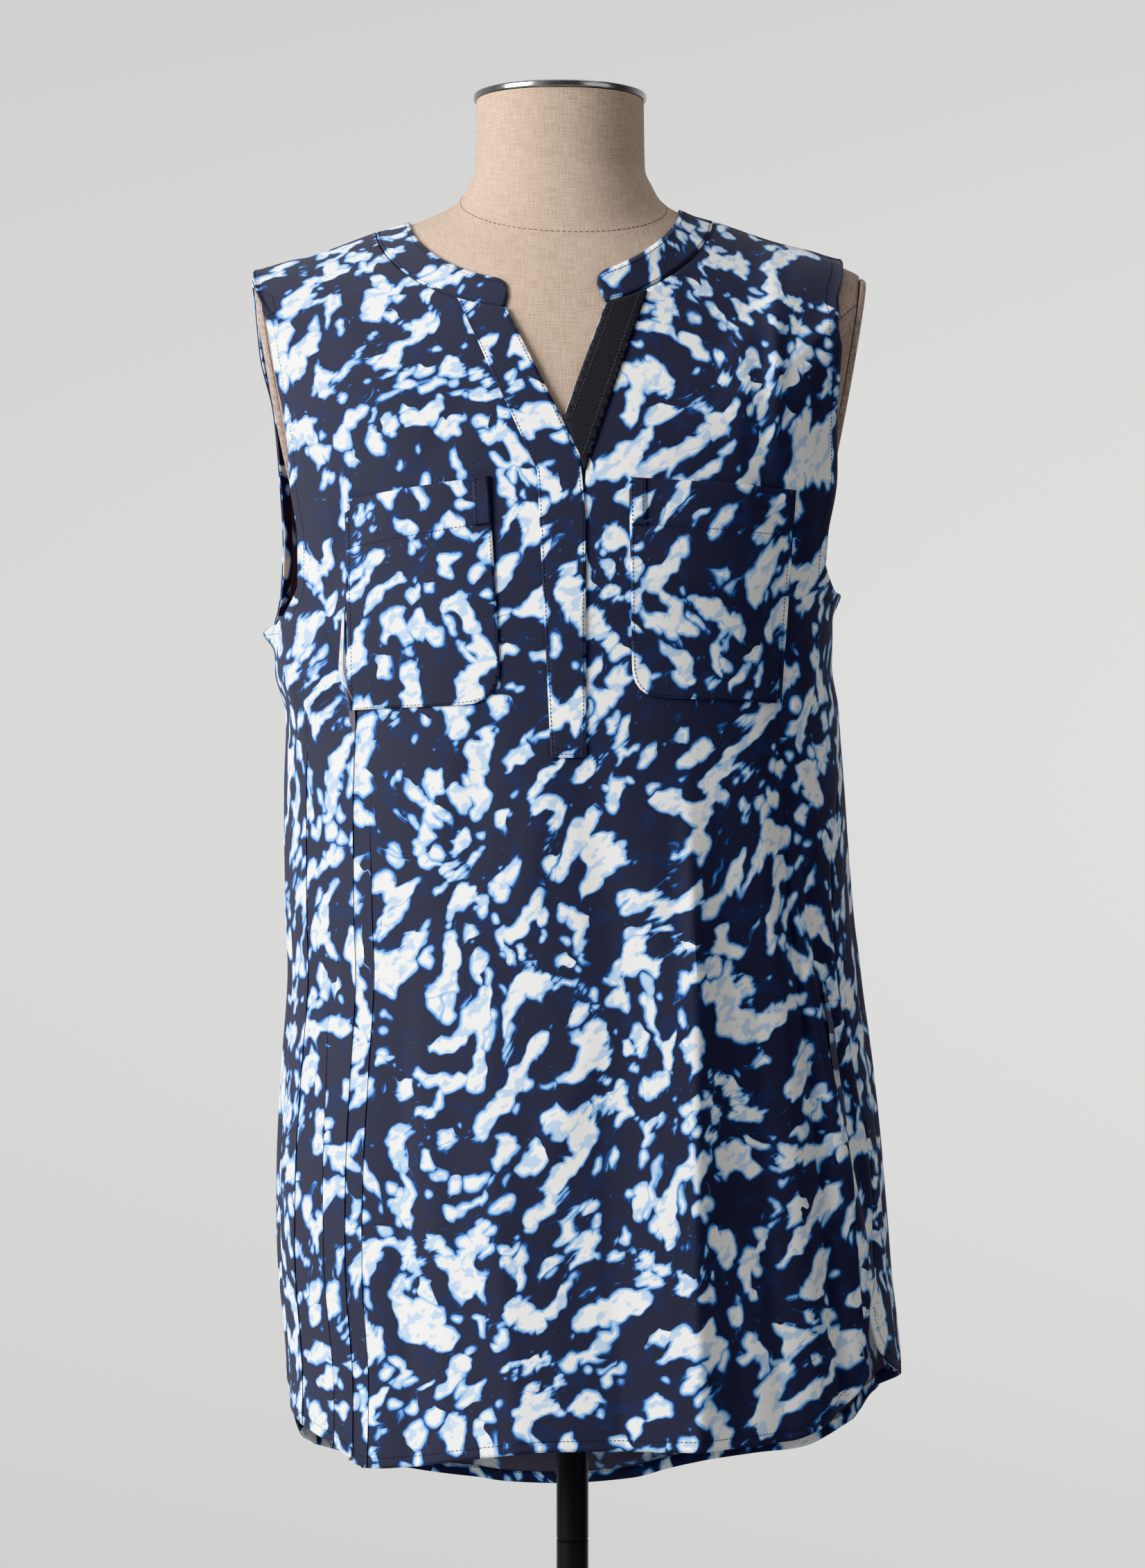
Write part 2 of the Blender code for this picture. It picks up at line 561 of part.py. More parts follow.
def add_turned(name, finish, radius, low, high, centre, edge):
    """A round disc or rod with softened rims."""
    bm = bmesh.new()
    bmesh.ops.create_cone(bm, cap_ends=True, segments=ROUND, radius1=radius, radius2=radius,
                          depth=high - low)
    bm.normal_update()
    rims = [e for e in bm.edges if abs(e.verts[0].co.z - e.verts[1].co.z) < 1e-6]
    bmesh.ops.bevel(bm, geom=rims, offset=edge, segments=1, profile=0.5, affect="EDGES",
                    material=-1)
    add_part(bm, name, finish, (centre[0], centre[1], 0.5 * (low + high)))


FLANGE_LOW = FORM_BOTTOM - GAP - FLANGE_HEIGHT
add_turned("neck_cap", "cap_metal", CAP_RADIUS, NECK_TOP + GAP, CAP_TOP,
           (FORM_X, NECK_Y), 0.0012)
add_turned("pole_flange", "black_steel", FLANGE_RADIUS, FLANGE_LOW, FORM_BOTTOM - GAP,
           (0.0, 0.0), 0.0008)
add_turned("pole", "black_steel", POLE_RADIUS, BASE_HEIGHT + SOCKET_HEIGHT + 2.0 * GAP,
           FLANGE_LOW - GAP, (0.0, 0.0), 0.0006)
add_turned("base_socket", "black_steel", SOCKET_RADIUS, BASE_HEIGHT + GAP,
           BASE_HEIGHT + GAP + SOCKET_HEIGHT, (0.0, 0.0), 0.0020)
add_turned("base_disc", "black_steel", BASE_RADIUS, 0.0, BASE_HEIGHT, (0.0, 0.0), 0.0030)


# ---------------------------------------------------------------- the cloth
# Rows of the cloth, closest together where it turns over the shoulders into the armholes.
CLOTH_LEVELS = (NECKLINE, 1.3370, 1.3240, 1.3110, 1.2980, 1.2880, 1.2820, 1.2750, 1.2660, 1.2560,
                1.2430, 1.2290, 1.2140, 1.1990, 1.1860, 1.1780, 1.1720, 1.1650, 1.1540, 1.1300,
                1.1000, 1.0600, 1.0150, 0.9700, 0.9250, 0.8800, 0.8400, 0.8000, 0.7540, 0.7080,
                0.6620, 0.6160, 0.5700)


def hang(level, hem):
    """Height of a skirt row, drawn up to the curved hem."""
    if level >= HEM_START:
        return level
    return HEM_START - (HEM_START - level) * (HEM_START - hem) / (HEM_START - HEM_LOW)


SEAM_GAP = 0.05           # degrees between each panel and the middle of a side seam


def front_place(across, down):
    """Across runs from the left side seam over the front to the right one."""
    level = hang(row_level(CLOTH_LEVELS, down), FRONT_HEM_TRACK(across))
    if level > SEAMS[0][0]:
        right = GARMENT_TRACKS["cut"](level)
        left = -right
    else:
        right = SEAM_TRACKS["right"](level) - SEAM_GAP
        left = SEAM_TRACKS["left"](level) + SEAM_GAP
    return set_on_form(garment_point(level, left + (right - left) * across), REST)


def back_place(across, down):
    """Across runs from the right side seam round the back to the left one."""
    level = hang(row_level(CLOTH_LEVELS, down), BACK_HEM_TRACK(across))
    if level > SEAMS[0][0]:
        right = 180.0 - GARMENT_TRACKS["back_cut"](level)
        left = 180.0 + GARMENT_TRACKS["back_cut"](level)
    else:
        right = SEAM_TRACKS["right"](level) + SEAM_GAP
        left = 360.0 + SEAM_TRACKS["left"](level) - SEAM_GAP
    return set_on_form(garment_point(level, right + (left - right) * across), REST)


def front_sheet():
    """Outer face of the whole front, from which every piece on it is cut."""
    bm = sheet_grid(FRONT_STEPS, len(CLOTH_LEVELS) - 1, front_place)
    face_out(bm, Vector((0.0, 0.06, 0.0)))
    clear_form(bm, REST)
    return bm


FAR_UP = 1.45             # above every neckline, for outlines that run off the cloth


def between(left, right):
    """Closed outline between two edges that both run downwards."""
    return list(left) + list(reversed(right))


SLIT = between(((SLIT_LEFT[0][0] - 0.03, FAR_UP),) + SLIT_LEFT,
               ((SLIT_RIGHT[0][0] + 0.03, FAR_UP),) + SLIT_RIGHT)


def add_front():
    bm = front_sheet()
    cut_sheet(bm, SLIT, "outside")
    give_wall(bm, -CLOTH)
    keep_before(bm, -0.5 * GAP)
    add_part(bm, "front", "print")


def add_back():
    bm = sheet_grid(BACK_STEPS, len(CLOTH_LEVELS) - 1, back_place)
    face_out(bm, Vector((0.0, -0.06, 0.0)))
    clear_form(bm, REST)
    give_wall(bm, -CLOTH)
    keep_behind(bm, 0.5 * GAP)
    add_part(bm, "back", "print")


def add_laid_piece(name, finish, outline, layers):
    """A piece cut to an outline and laid on the front, one or two walls out."""
    bm = front_sheet()
    cut_sheet(bm, outline, "inside")
    move_out(bm, GAP + (layers - 1) * (CLOTH + GAP))
    give_wall(bm, CLOTH)
    add_part(bm, name, finish)


def add_placket_under():
    """Fills the slit on one side, level with the front panel."""
    bm = front_sheet()
    right = [(x - GAP, z) for x, z in SLIT_RIGHT]
    right[-1] = (right[-1][0], OPENING_RIGHT[-1][1])
    cut_sheet(bm, between(OPENING_RIGHT, right), "inside")
    give_wall(bm, -CLOTH)
    add_part(bm, "placket_under", "print_light")


def crossing(first, second, start, end):
    """Where the line through two points meets the line through two others."""
    ahead, across = Vector(second) - Vector(first), Vector(end) - Vector(start)
    share = (Vector(start) - Vector(first)).cross(across) / ahead.cross(across)
    return tuple(Vector(first) + ahead * share)


def tape_outline():
    """The tape follows the V's right edge, then the placket that laps it, to a point."""
    beside = 2.0 * GAP
    fold = [(x + beside, z) for x, z in PLACKET_FOLD[:2]]
    opening = [(x + GAP, z) for x, z in OPENING_RIGHT[:2]]
    tip_x, tip_z = TAPE_RIGHT[-1]
    left = (opening[0], crossing(*opening, *fold), fold[1], (tip_x - CLOTH, tip_z))
    return between(left, TAPE_RIGHT)


def add_collar():
    """Band from one side of the V round the neck to the other, with rounded ends."""
    def angle_at(x):
        reach = GARMENT_TRACKS["half"](NECKLINE)
        off = (x - GARMENT_TRACKS["mid"](NECKLINE)) / reach
        return math.degrees(math.asin(powered(off, SQUARE / 2.0)))
    start = angle_at(COLLAR_RIGHT_X)
    end = 360.0 + angle_at(COLLAR_LEFT_X)
    length = math.radians(end - start) * NECK_SPREAD

    def place(across, down):
        angle = start + (end - start) * across
        edge = min(across, 1.0 - across) * length
        rounded = min(1.0, edge / BAND_CORNER)
        curve = math.sqrt(max(0.0, 1.0 - (1.0 - rounded) ** 2))
        least = BAND_END_RIGHT if across < 0.5 else BAND_END_LEFT
        height = least + (1.0 - least) * curve
        share = BAND_SEAM + (height - BAND_SEAM) * (1.0 - down)
        level = NECKLINE + (BAND_TOP - NECKLINE) * share
        return set_on_form(garment_point(level, angle), BAND_REST)

    bm = sheet_grid(BAND_STEPS, 2, place)
    face_out(bm, Vector((FORM_X, 0.0, 0.0)))
    clear_form(bm, BAND_REST)
    give_wall(bm, -BAND_WALL)
    add_part(bm, "collar_band", "print_light")


add_front()
add_back()
add_collar()
add_placket_under()
add_laid_piece("placket_over", "print_light", between(PLACKET_SEAM, PLACKET_FOLD), 1)
add_laid_piece("neck_tape", "tape", tape_outline(), 1)
add_laid_piece("pocket_left", "print_light", POCKET_LEFT, 1)
add_laid_piece("pocket_right", "print_light", POCKET_RIGHT, 1)
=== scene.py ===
# %% [markdown]
# # A sleeveless tunic on a dress form
# The real thing is a printed viscose tunic pulled over a linen covered form on a pole. The packed
# CAD model already has every piece in its place, so it is loaded first and never moved. Each soft
# piece is then made again on the same form, only finer, and takes over from its CAD node.

# %% Load the model and note its box
import functools
import math
import bmesh
import bpy
import numpy as np
from mathutils import Matrix, Vector
from mathutils.bvhtree import BVHTree


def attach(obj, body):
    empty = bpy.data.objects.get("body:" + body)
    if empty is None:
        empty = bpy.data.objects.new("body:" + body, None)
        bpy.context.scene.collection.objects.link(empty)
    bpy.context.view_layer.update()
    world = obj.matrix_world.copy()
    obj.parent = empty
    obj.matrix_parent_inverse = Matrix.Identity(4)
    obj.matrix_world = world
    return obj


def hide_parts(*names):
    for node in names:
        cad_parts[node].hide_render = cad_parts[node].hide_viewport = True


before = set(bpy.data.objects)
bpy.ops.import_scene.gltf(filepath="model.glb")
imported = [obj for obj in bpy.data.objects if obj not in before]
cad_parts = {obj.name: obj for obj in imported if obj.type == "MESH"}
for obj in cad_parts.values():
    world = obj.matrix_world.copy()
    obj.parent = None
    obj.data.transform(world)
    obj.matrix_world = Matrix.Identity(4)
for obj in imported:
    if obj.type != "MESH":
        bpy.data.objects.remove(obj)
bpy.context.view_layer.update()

# %% [markdown]
# ## The camera
# A garment is pictured from straight in front, from far enough away that its sides don't bow.
# The camera stands 2.4 m before the pole at the height of the waist and looks level, so upright
# edges stay upright and no lens shift is needed.

# %% Place the camera
CAMERA_AWAY = 2.40
CAMERA_HEIGHT = 1.055
LENS = 84.84

lens = bpy.data.cameras.new("studio_camera")
lens.sensor_width = 36.0
lens.lens = LENS
camera = bpy.data.objects.new("studio_camera", lens)
camera.location = (0.0, -CAMERA_AWAY, CAMERA_HEIGHT)
camera.rotation_euler = (math.radians(90.0), 0.0, 0.0)
bpy.context.scene.collection.objects.link(camera)
bpy.context.scene.camera = camera
print("camera at", tuple(camera.location), "with a lens of", LENS, "mm")

# %% [markdown]
# ## The rings that shape the cloth
# A sewn tube is easiest to describe by the rings that it would leave if it were sliced. Every ring
# is a superellipse, a softly squared oval, that may tilt: near the neck it climbs from the centre
# front to the shoulder. The tables repeat those of the CAD source, so the fine cloth lies exactly
# where the solid wall does. Between the rows a smooth curve that never overshoots fills in.

# %% Tables of the garment and the form
SQUARE = 2.2              # superellipse power of the rings
FAN = 1.2                 # how fast a tilted ring falls from the shoulder to centre front
NECKLINE = 1.3490
BAND_TOP = 1.3680
HEM_LOW = 0.5700
FORM_X = -0.0080
NECK_Y = -0.0120

GARMENT_COLUMNS = ("level", "left_z", "right_z", "back_z", "half", "front", "back",
                   "mid", "swing", "cut", "back_cut")
GARMENT = (
    (1.3680, 1.4195, 1.4265, 1.4220, 0.0870, 0.1010, 0.0660, -0.0185, 0.000, 90.0, 90.0),
    (1.3490, 1.4132, 1.4203, 1.4050, 0.1095, 0.1080, 0.0765, -0.0180, 0.000, 90.0, 90.0),
    (1.3200, 1.3990, 1.4065, 1.3770, 0.1500, 0.1185, 0.0915, -0.0168, 0.000, 90.0, 90.0),
    (1.3040, 1.3942, 1.4015, 1.3620, 0.1700, 0.1225, 0.0960, -0.0163, 0.000, 90.0, 90.0),
    (1.2880, 1.3890, 1.3960, 1.3475, 0.1894, 0.1260, 0.1005, -0.0158, 0.000, 90.0, 90.0),
    (1.2800, 1.3930, 1.3975, 1.3395, 0.1930, 0.1275, 0.1020, -0.0148, -0.003, 71.9, 81.0),
    (1.2700, 1.3956, 1.3990, 1.3290, 0.1986, 0.1290, 0.1040, -0.0132, -0.006, 65.5, 74.0),
    (1.2530, 1.3490, 1.3520, 1.3060, 0.1972, 0.1310, 0.1070, -0.0102, -0.010, 62.9, 70.0),
    (1.2340, 1.3085, 1.3095, 1.2760, 0.1914, 0.1325, 0.1090, -0.0070, -0.010, 64.5, 70.0),
    (1.2130, 1.2610, 1.2620, 1.2420, 0.1884, 0.1335, 0.1100, -0.0058, -0.010, 65.8, 70.0),
    (1.1930, 1.2188, 1.2230, 1.2080, 0.1855, 0.1335, 0.1100, -0.0062, -0.010, 63.5, 70.0),
    (1.1780, 1.1796, 1.2022, 1.1880, 0.1847, 0.1335, 0.1100, -0.0070, -0.009, 63.5, 72.0),
    (1.1720, 1.1558, 1.1792, 1.1740, 0.1820, 0.1335, 0.1100, -0.0100, -0.006, 76.8, 80.0),
    (1.1650, 1.1530, 1.1760, 1.1660, 0.1812, 0.1335, 0.1100, -0.0118, 0.000, 90.0, 90.0),
    (1.1540, 1.1430, 1.1555, 1.1540, 0.1805, 0.1332, 0.1100, -0.0122, 0.000, 90.0, 90.0),
    (1.1300, 1.1270, 1.1330, 1.1300, 0.1802, 0.1330, 0.1100, -0.0123, 0.000, 90.0, 90.0),
    (1.1000, 1.1000, 1.1000, 1.1000, 0.1792, 0.1330, 0.1100, -0.0065, 0.000, 90.0, 90.0),
    (1.0540, 1.0540, 1.0540, 1.0540, 0.1814, 0.1330, 0.1105, -0.0054, 0.000, 90.0, 90.0),
    (0.9740, 0.9740, 0.9740, 0.9740, 0.1840, 0.1340, 0.1120, -0.0020, 0.000, 90.0, 90.0),
    (0.9330, 0.9330, 0.9330, 0.9330, 0.1858, 0.1345, 0.1130, 0.0012, 0.000, 90.0, 90.0),
    (0.8730, 0.8730, 0.8730, 0.8730, 0.1918, 0.1355, 0.1145, 0.0032, 0.000, 90.0, 90.0),
    (0.8127, 0.8127, 0.8127, 0.8127, 0.1965, 0.1365, 0.1160, 0.0048, 0.000, 90.0, 90.0),
    (0.7492, 0.7492, 0.7492, 0.7492, 0.1989, 0.1375, 0.1175, 0.0076, 0.000, 90.0, 90.0),
    (0.6727, 0.6727, 0.6727, 0.6727, 0.1996, 0.1390, 0.1200, 0.0142, 0.000, 90.0, 90.0),
    (0.5700, 0.5700, 0.5700, 0.5700, 0.2000, 0.1400, 0.1220, 0.0150, 0.000, 90.0, 90.0),
)
FORM_COLUMNS = ("level", "side_z", "back_z", "half", "front", "back", "mid_y")
FORM = (
    (1.4953, 1.4953, 1.4953, 0.0540, 0.0540, 0.0540, -0.012),
    (1.4520, 1.4520, 1.4520, 0.0548, 0.0548, 0.0548, -0.012),
    (1.4330, 1.4415, 1.4440, 0.0590, 0.0585, 0.0575, -0.012),
    (1.4060, 1.4300, 1.4340, 0.0668, 0.0670, 0.0640, -0.011),
    (1.3700, 1.4210, 1.4190, 0.0870, 0.0960, 0.0690, -0.004),
    (1.3510, 1.4138, 1.4030, 0.1090, 0.1055, 0.0750, -0.001),
    (1.3185, 1.4003, 1.3760, 0.1480, 0.1165, 0.0900, 0.000),
    (1.2865, 1.3895, 1.3460, 0.1850, 0.1235, 0.0985, 0.000),
    (1.2650, 1.3785, 1.3250, 0.1990, 0.1265, 0.1025, 0.000),
    (1.2450, 1.3470, 1.3000, 0.1960, 0.1290, 0.1050, 0.000),
    (1.2250, 1.3000, 1.2700, 0.1880, 0.1305, 0.1065, 0.000),
    (1.2050, 1.2500, 1.2350, 0.1730, 0.1300, 0.1060, 0.000),
    (1.1800, 1.1900, 1.1850, 0.1580, 0.1270, 0.1030, 0.000),
    (1.1200, 1.1200, 1.1200, 0.1490, 0.1150, 0.0960, 0.000),
    (1.0500, 1.0500, 1.0500, 0.1360, 0.0980, 0.0860, 0.000),
    (0.9800, 0.9800, 0.9800, 0.1430, 0.1010, 0.0920, 0.000),
    (0.8900, 0.8900, 0.8900, 0.1640, 0.1120, 0.1030, 0.000),
    (0.8120, 0.8120, 0.8120, 0.1690, 0.1150, 0.1060, 0.000),
    (0.8000, 0.8000, 0.8000, 0.1600, 0.1060, 0.0970, 0.000),
)
FRONT_HEM = ((0.000, 0.6760), (0.041, 0.6700), (0.100, 0.6590), (0.149, 0.6520), (0.205, 0.6470),
             (0.270, 0.6405), (0.302, 0.6335), (0.330, 0.6300), (0.400, 0.6330), (0.474, 0.6395),
             (0.575, 0.6460), (0.738, 0.6465), (0.841, 0.6485), (0.898, 0.6560), (0.940, 0.6650),
             (0.965, 0.6760), (0.985, 0.6950), (1.000, 0.7190))
BACK_HEM = ((0.000, 0.7190), (0.015, 0.7000), (0.054, 0.6846), (0.146, 0.6727), (0.266, 0.6502),
            (0.303, 0.6340), (0.345, 0.6180), (0.372, 0.6100), (0.440, 0.6015), (0.525, 0.5890),
            (0.560, 0.5820), (0.614, 0.5790), (0.658, 0.5797), (0.698, 0.5840), (0.759, 0.5920),
            (0.817, 0.6020), (0.875, 0.6116), (0.954, 0.6250), (0.982, 0.6450), (1.000, 0.6760))
SEAM_COLUMNS = ("z", "left", "right")
SEAMS = ((1.1000, -90.0, 90.0), (1.0500, -90.5, 73.0), (1.0000, -91.0, 64.5),
         (0.9300, -92.0, 62.0), (0.8700, -92.5, 65.0), (0.8000, -93.0, 69.0),
         (0.7500, -93.5, 67.5), (0.7200, -94.0, 61.5), (0.5700, -95.0, 58.0))
print(len(GARMENT), "garment rings and", len(FORM), "form rings")


# %% Smooth curves through the tables
class Track:
    """A smooth curve through (position, value) pairs that never overshoots them."""

    def __init__(self, pairs):
        pairs = sorted(pairs)
        self.at = [pair[0] for pair in pairs]
        self.value = [pair[1] for pair in pairs]
        rises = [(self.value[i + 1] - self.value[i]) / (self.at[i + 1] - self.at[i])
                 for i in range(len(pairs) - 1)]
        self.slope = [rises[0]]
        for before, after in zip(rises, rises[1:]):
            flat = before * after <= 0.0
            self.slope.append(0.0 if flat else 2.0 * before * after / (before + after))
        self.slope.append(rises[-1])

    def __call__(self, position):
        if position <= self.at[0]:
            return self.value[0]
        if position >= self.at[-1]:
            return self.value[-1]
        i = max(k for k, start in enumerate(self.at) if start <= position)
        span = self.at[i + 1] - self.at[i]
        t = (position - self.at[i]) / span
        rise = self.value[i + 1] - self.value[i]
        start_pull = self.slope[i] * span - rise
        end_pull = self.slope[i + 1] * span - rise
        return self.value[i] + t * rise + t * (1 - t) * ((1 - t) * start_pull - t * end_pull)


def tracks(names, rows):
    """One track for each column of a table, along its first column."""
    return {name: Track([(row[0], row[k]) for row in rows])
            for k, name in enumerate(names) if k}


GARMENT_TRACKS = tracks(GARMENT_COLUMNS, GARMENT)
FORM_TRACKS = tracks(FORM_COLUMNS, FORM)
SEAM_TRACKS = tracks(SEAM_COLUMNS, SEAMS)
FRONT_HEM_TRACK = Track(FRONT_HEM)
BACK_HEM_TRACK = Track(BACK_HEM)


@functools.lru_cache(maxsize=None)
def garment_sizes(level):
    return {name: track(level) for name, track in GARMENT_TRACKS.items()}


@functools.lru_cache(maxsize=None)
def form_sizes(level):
    return {name: track(level) for name, track in FORM_TRACKS.items()}


def smooth_step(t):
    t = min(1.0, max(0.0, t))
    return t * t * (3.0 - 2.0 * t)


def powered(value, power):
    return math.copysign(abs(value) ** power, value)


def ring_point(level, angle, centre, half, front, back, side_z, back_z):
    """Point of a tilted superellipse ring. The angle runs from centre front towards +X."""
    across = math.sin(math.radians(angle))
    along = math.cos(math.radians(angle))
    depth = front if along > 0.0 else back
    end_z = level if along > 0.0 else back_z
    x = centre[0] + half * powered(across, 2.0 / SQUARE)
    y = centre[1] - depth * powered(along, 2.0 / SQUARE)
    return Vector((x, y, side_z + (end_z - side_z) * abs(along) ** FAN))


print("waist ring, half width", round(garment_sizes(1.054)["half"], 3), "m")

# %% [markdown]
# ## A few tools for finishes
# A material is a small graph: textures read a place on the cloth, numbers shape them, and the
# shader at the end turns the result into light. Writing a node with its settings and wires on one
# line keeps the graph readable, so the helpers below do just that.

# %% Helpers that build node graphs
LINEN_THREAD = 0.00105    # distance between the threads of the form's cover
CLOTH_THREAD = 0.00040    # and of the tunic's fine cloth


def put(tree, kind, settings, inputs):
    """Add a node. An input is a number, a colour or the output of another node."""
    made = tree.nodes.new("ShaderNode" + kind)
    for name, value in settings.items():
        setattr(made, name, value)
    for name, value in inputs.items():
        if isinstance(value, bpy.types.NodeSocket):
            tree.links.new(value, made.inputs[name])
        else:
            made.inputs[name].default_value = value
    return made.outputs


def sums(tree, kind, *values):
    """A Math node on numbers or outputs."""
    return put(tree, "Math", {"operation": kind}, dict(enumerate(values)))[0]


def shifted(tree, place, texture, reach):
    """Push the place that a texture is read at by a colour noise, up to reach metres."""
    centred = put(tree, "VectorMath", {"operation": "SUBTRACT"}, {0: texture, 1: (0.5,) * 3})[0]
    scaled = put(tree, "VectorMath", {"operation": "SCALE"}, {0: centred, "Scale": reach})[0]
    return put(tree, "VectorMath", {"operation": "ADD"}, {0: place, 1: scaled})[0]


def turned(tree, place, degrees, scale):
    """Read a texture along this direction first: scale gives repeats a metre along and across."""
    return put(tree, "Mapping", {"vector_type": "TEXTURE"}, {
        "Vector": place, "Scale": (1.0 / scale[0], 1.0 / scale[1], 1.0),
        "Rotation": (0.0, 0.0, math.radians(degrees))})[0]


def coloured(tree, value, stops):
    """A colour ramp through (position, colour) stops."""
    made = tree.nodes.new("ShaderNodeValToRGB")
    steps = made.color_ramp.elements
    steps[0].position, steps[0].color = stops[0][0], (*stops[0][1], 1.0)
    steps[1].position, steps[1].color = stops[-1][0], (*stops[-1][1], 1.0)
    for position, colour in stops[1:-1]:
        steps.new(position).color = (*colour, 1.0)
    tree.links.new(value, made.inputs[0])
    return made.outputs[0]


def mixed(tree, share, first, second):
    made = put(tree, "MixRGB", {"blend_type": "MIX"}, {"Fac": share})
    node = made[0].node
    for socket, value in zip((node.inputs[1], node.inputs[2]), (first, second)):
        if isinstance(value, bpy.types.NodeSocket):
            tree.links.new(value, socket)
        else:
            socket.default_value = (*value, 1.0)
    return made[0]


def weave(tree, place, pitch):
    """A plain weave: from 1, where the warp lies on top, to -1, where the weft does."""
    parts = put(tree, "SeparateXYZ", {}, {0: place})
    across = sums(tree, "MULTIPLY", parts[0], math.pi / pitch)
    along = sums(tree, "MULTIPLY", parts[1], math.pi / pitch)
    return sums(tree, "MULTIPLY", sums(tree, "SINE", across), sums(tree, "SINE", along))


def new_finish(name, roughness, metallic=0.0, specular=0.5):
    material = bpy.data.materials.new(name)
    material.use_nodes = True
    shader = material.node_tree.nodes["Principled BSDF"]
    shader.inputs["Roughness"].default_value = roughness
    shader.inputs["Metallic"].default_value = metallic
    shader.inputs["Specular IOR Level"].default_value = specular
    return material, material.node_tree, shader


def raise_surface(tree, shader, height, distance, strength=1.0):
    bump = put(tree, "Bump", {}, {"Height": height, "Distance": distance, "Strength": strength})
    tree.links.new(bump[0], shader.inputs["Normal"])


print("cloth threads every", CLOTH_THREAD * 1000, "mm, linen every", LINEN_THREAD * 1000, "mm")

# %% [markdown]
# ## The printed cloth
# The tunic is navy viscose with torn looking white blotches, each with a light blue halo and a
# royal blue rim, as ink leaves when it bleeds. The drawing here is its own: noise bends the place
# that is read, stretched noise and rounded cells add up to one height, and a ramp cuts that height
# into ground, rim, halo and white. One height gives every blotch the same clean outline. Each
# sewn piece is cut from another part of the cloth, so each gets its own shift of the pattern.

# %% The print
NAVY = (0.046, 0.048, 0.073)
DEEP_BLUE = (0.034, 0.053, 0.125)
ROYAL = (0.030, 0.074, 0.220)
MID_BLUE = (0.062, 0.160, 0.410)
SKY = (0.180, 0.385, 0.690)
PALE = (0.500, 0.650, 0.820)
HALO = (0.400, 0.580, 0.800)
WHITE = (0.830, 0.825, 0.810)


def print_height():
    """A node group: the height map of the blotches, 0 at their outline."""
    tree = bpy.data.node_groups.new("print_height", "ShaderNodeTree")
    tree.interface.new_socket("Place", in_out="INPUT", socket_type="NodeSocketVector")
    tree.interface.new_socket("Height", in_out="OUTPUT", socket_type="NodeSocketFloat")
    place = tree.nodes.new("NodeGroupInput").outputs[0]
    swirl = put(tree, "TexNoise", {"noise_dimensions": "2D"},
                {"Vector": place, "Scale": 11.0, "Detail": 0.0})["Color"]
    swept = shifted(tree, place, swirl, 0.050)
    edge = put(tree, "TexNoise", {"noise_dimensions": "2D"},
               {"Vector": place, "Scale": 80.0, "Detail": 1.2, "Roughness": 0.42})["Color"]
    bent = shifted(tree, swept, edge, 0.0100)
    flow = turned(tree, bent, 58.0, (43.0, 60.0))
    broad = put(tree, "TexNoise", {"noise_dimensions": "2D"},
                {"Vector": flow, "Scale": 1.0, "Detail": 0.6, "Distortion": 0.2})["Fac"]
    cell = put(tree, "TexVoronoi", {"feature": "SMOOTH_F1", "voronoi_dimensions": "2D"},
               {"Vector": flow, "Scale": 1.30, "Smoothness": 0.25})
    tone = put(tree, "SeparateColor", {}, {0: cell["Color"]})[0]
    lift = sums(tree, "MULTIPLY", sums(tree, "SUBTRACT", tone, 0.5), 0.34)
    dome = sums(tree, "MULTIPLY", sums(tree, "SUBTRACT", 0.44, cell["Distance"]), 0.50)
    blotch = sums(tree, "MULTIPLY", sums(tree, "SUBTRACT", broad, 0.592), 2.3)
    blotch = sums(tree, "ADD", blotch, sums(tree, "ADD", lift, dome))
    stone = put(tree, "TexVoronoi", {"feature": "F1", "voronoi_dimensions": "2D"},
                {"Vector": turned(tree, bent, 65.0, (58.0, 72.0)), "Scale": 1.0,
                 "Randomness": 0.9})
    pick = put(tree, "SeparateColor", {}, {0: stone["Color"]})[0]
    size = put(tree, "MapRange", {}, {"Value": pick, "From Min": 0.46, "To Min": -0.1,
                                      "To Max": 0.44})[0]
    pebble = sums(tree, "MULTIPLY", sums(tree, "SUBTRACT", size, stone["Distance"]), 0.95)
    joined = sums(tree, "SMOOTH_MAX", blotch, pebble, 0.03)
    strand = put(tree, "TexNoise", {"noise_dimensions": "2D"},
                 {"Vector": turned(tree, swept, 42.0, (75.0, 330.0)), "Scale": 1.0,
                  "Detail": 1.0})["Fac"]
    torn = put(tree, "TexNoise", {"noise_dimensions": "2D"},
               {"Vector": place, "Scale": 24.0, "Detail": 0.0})["Fac"]
    pull = put(tree, "MapRange", {"interpolation_type": "SMOOTHSTEP"},
               {"Value": torn, "From Min": 0.56, "From Max": 0.68, "To Max": 0.38})[0]
    strands = sums(tree, "MULTIPLY", sums(tree, "SUBTRACT", strand, 0.5), pull)
    out = tree.nodes.new("NodeGroupOutput")
    tree.links.new(sums(tree, "ADD", joined, strands), out.inputs[0])
    return tree


PRINT_HEIGHT = print_height()
PRINT_STEP = 0.0007       # how far apart the height is read to find its slope


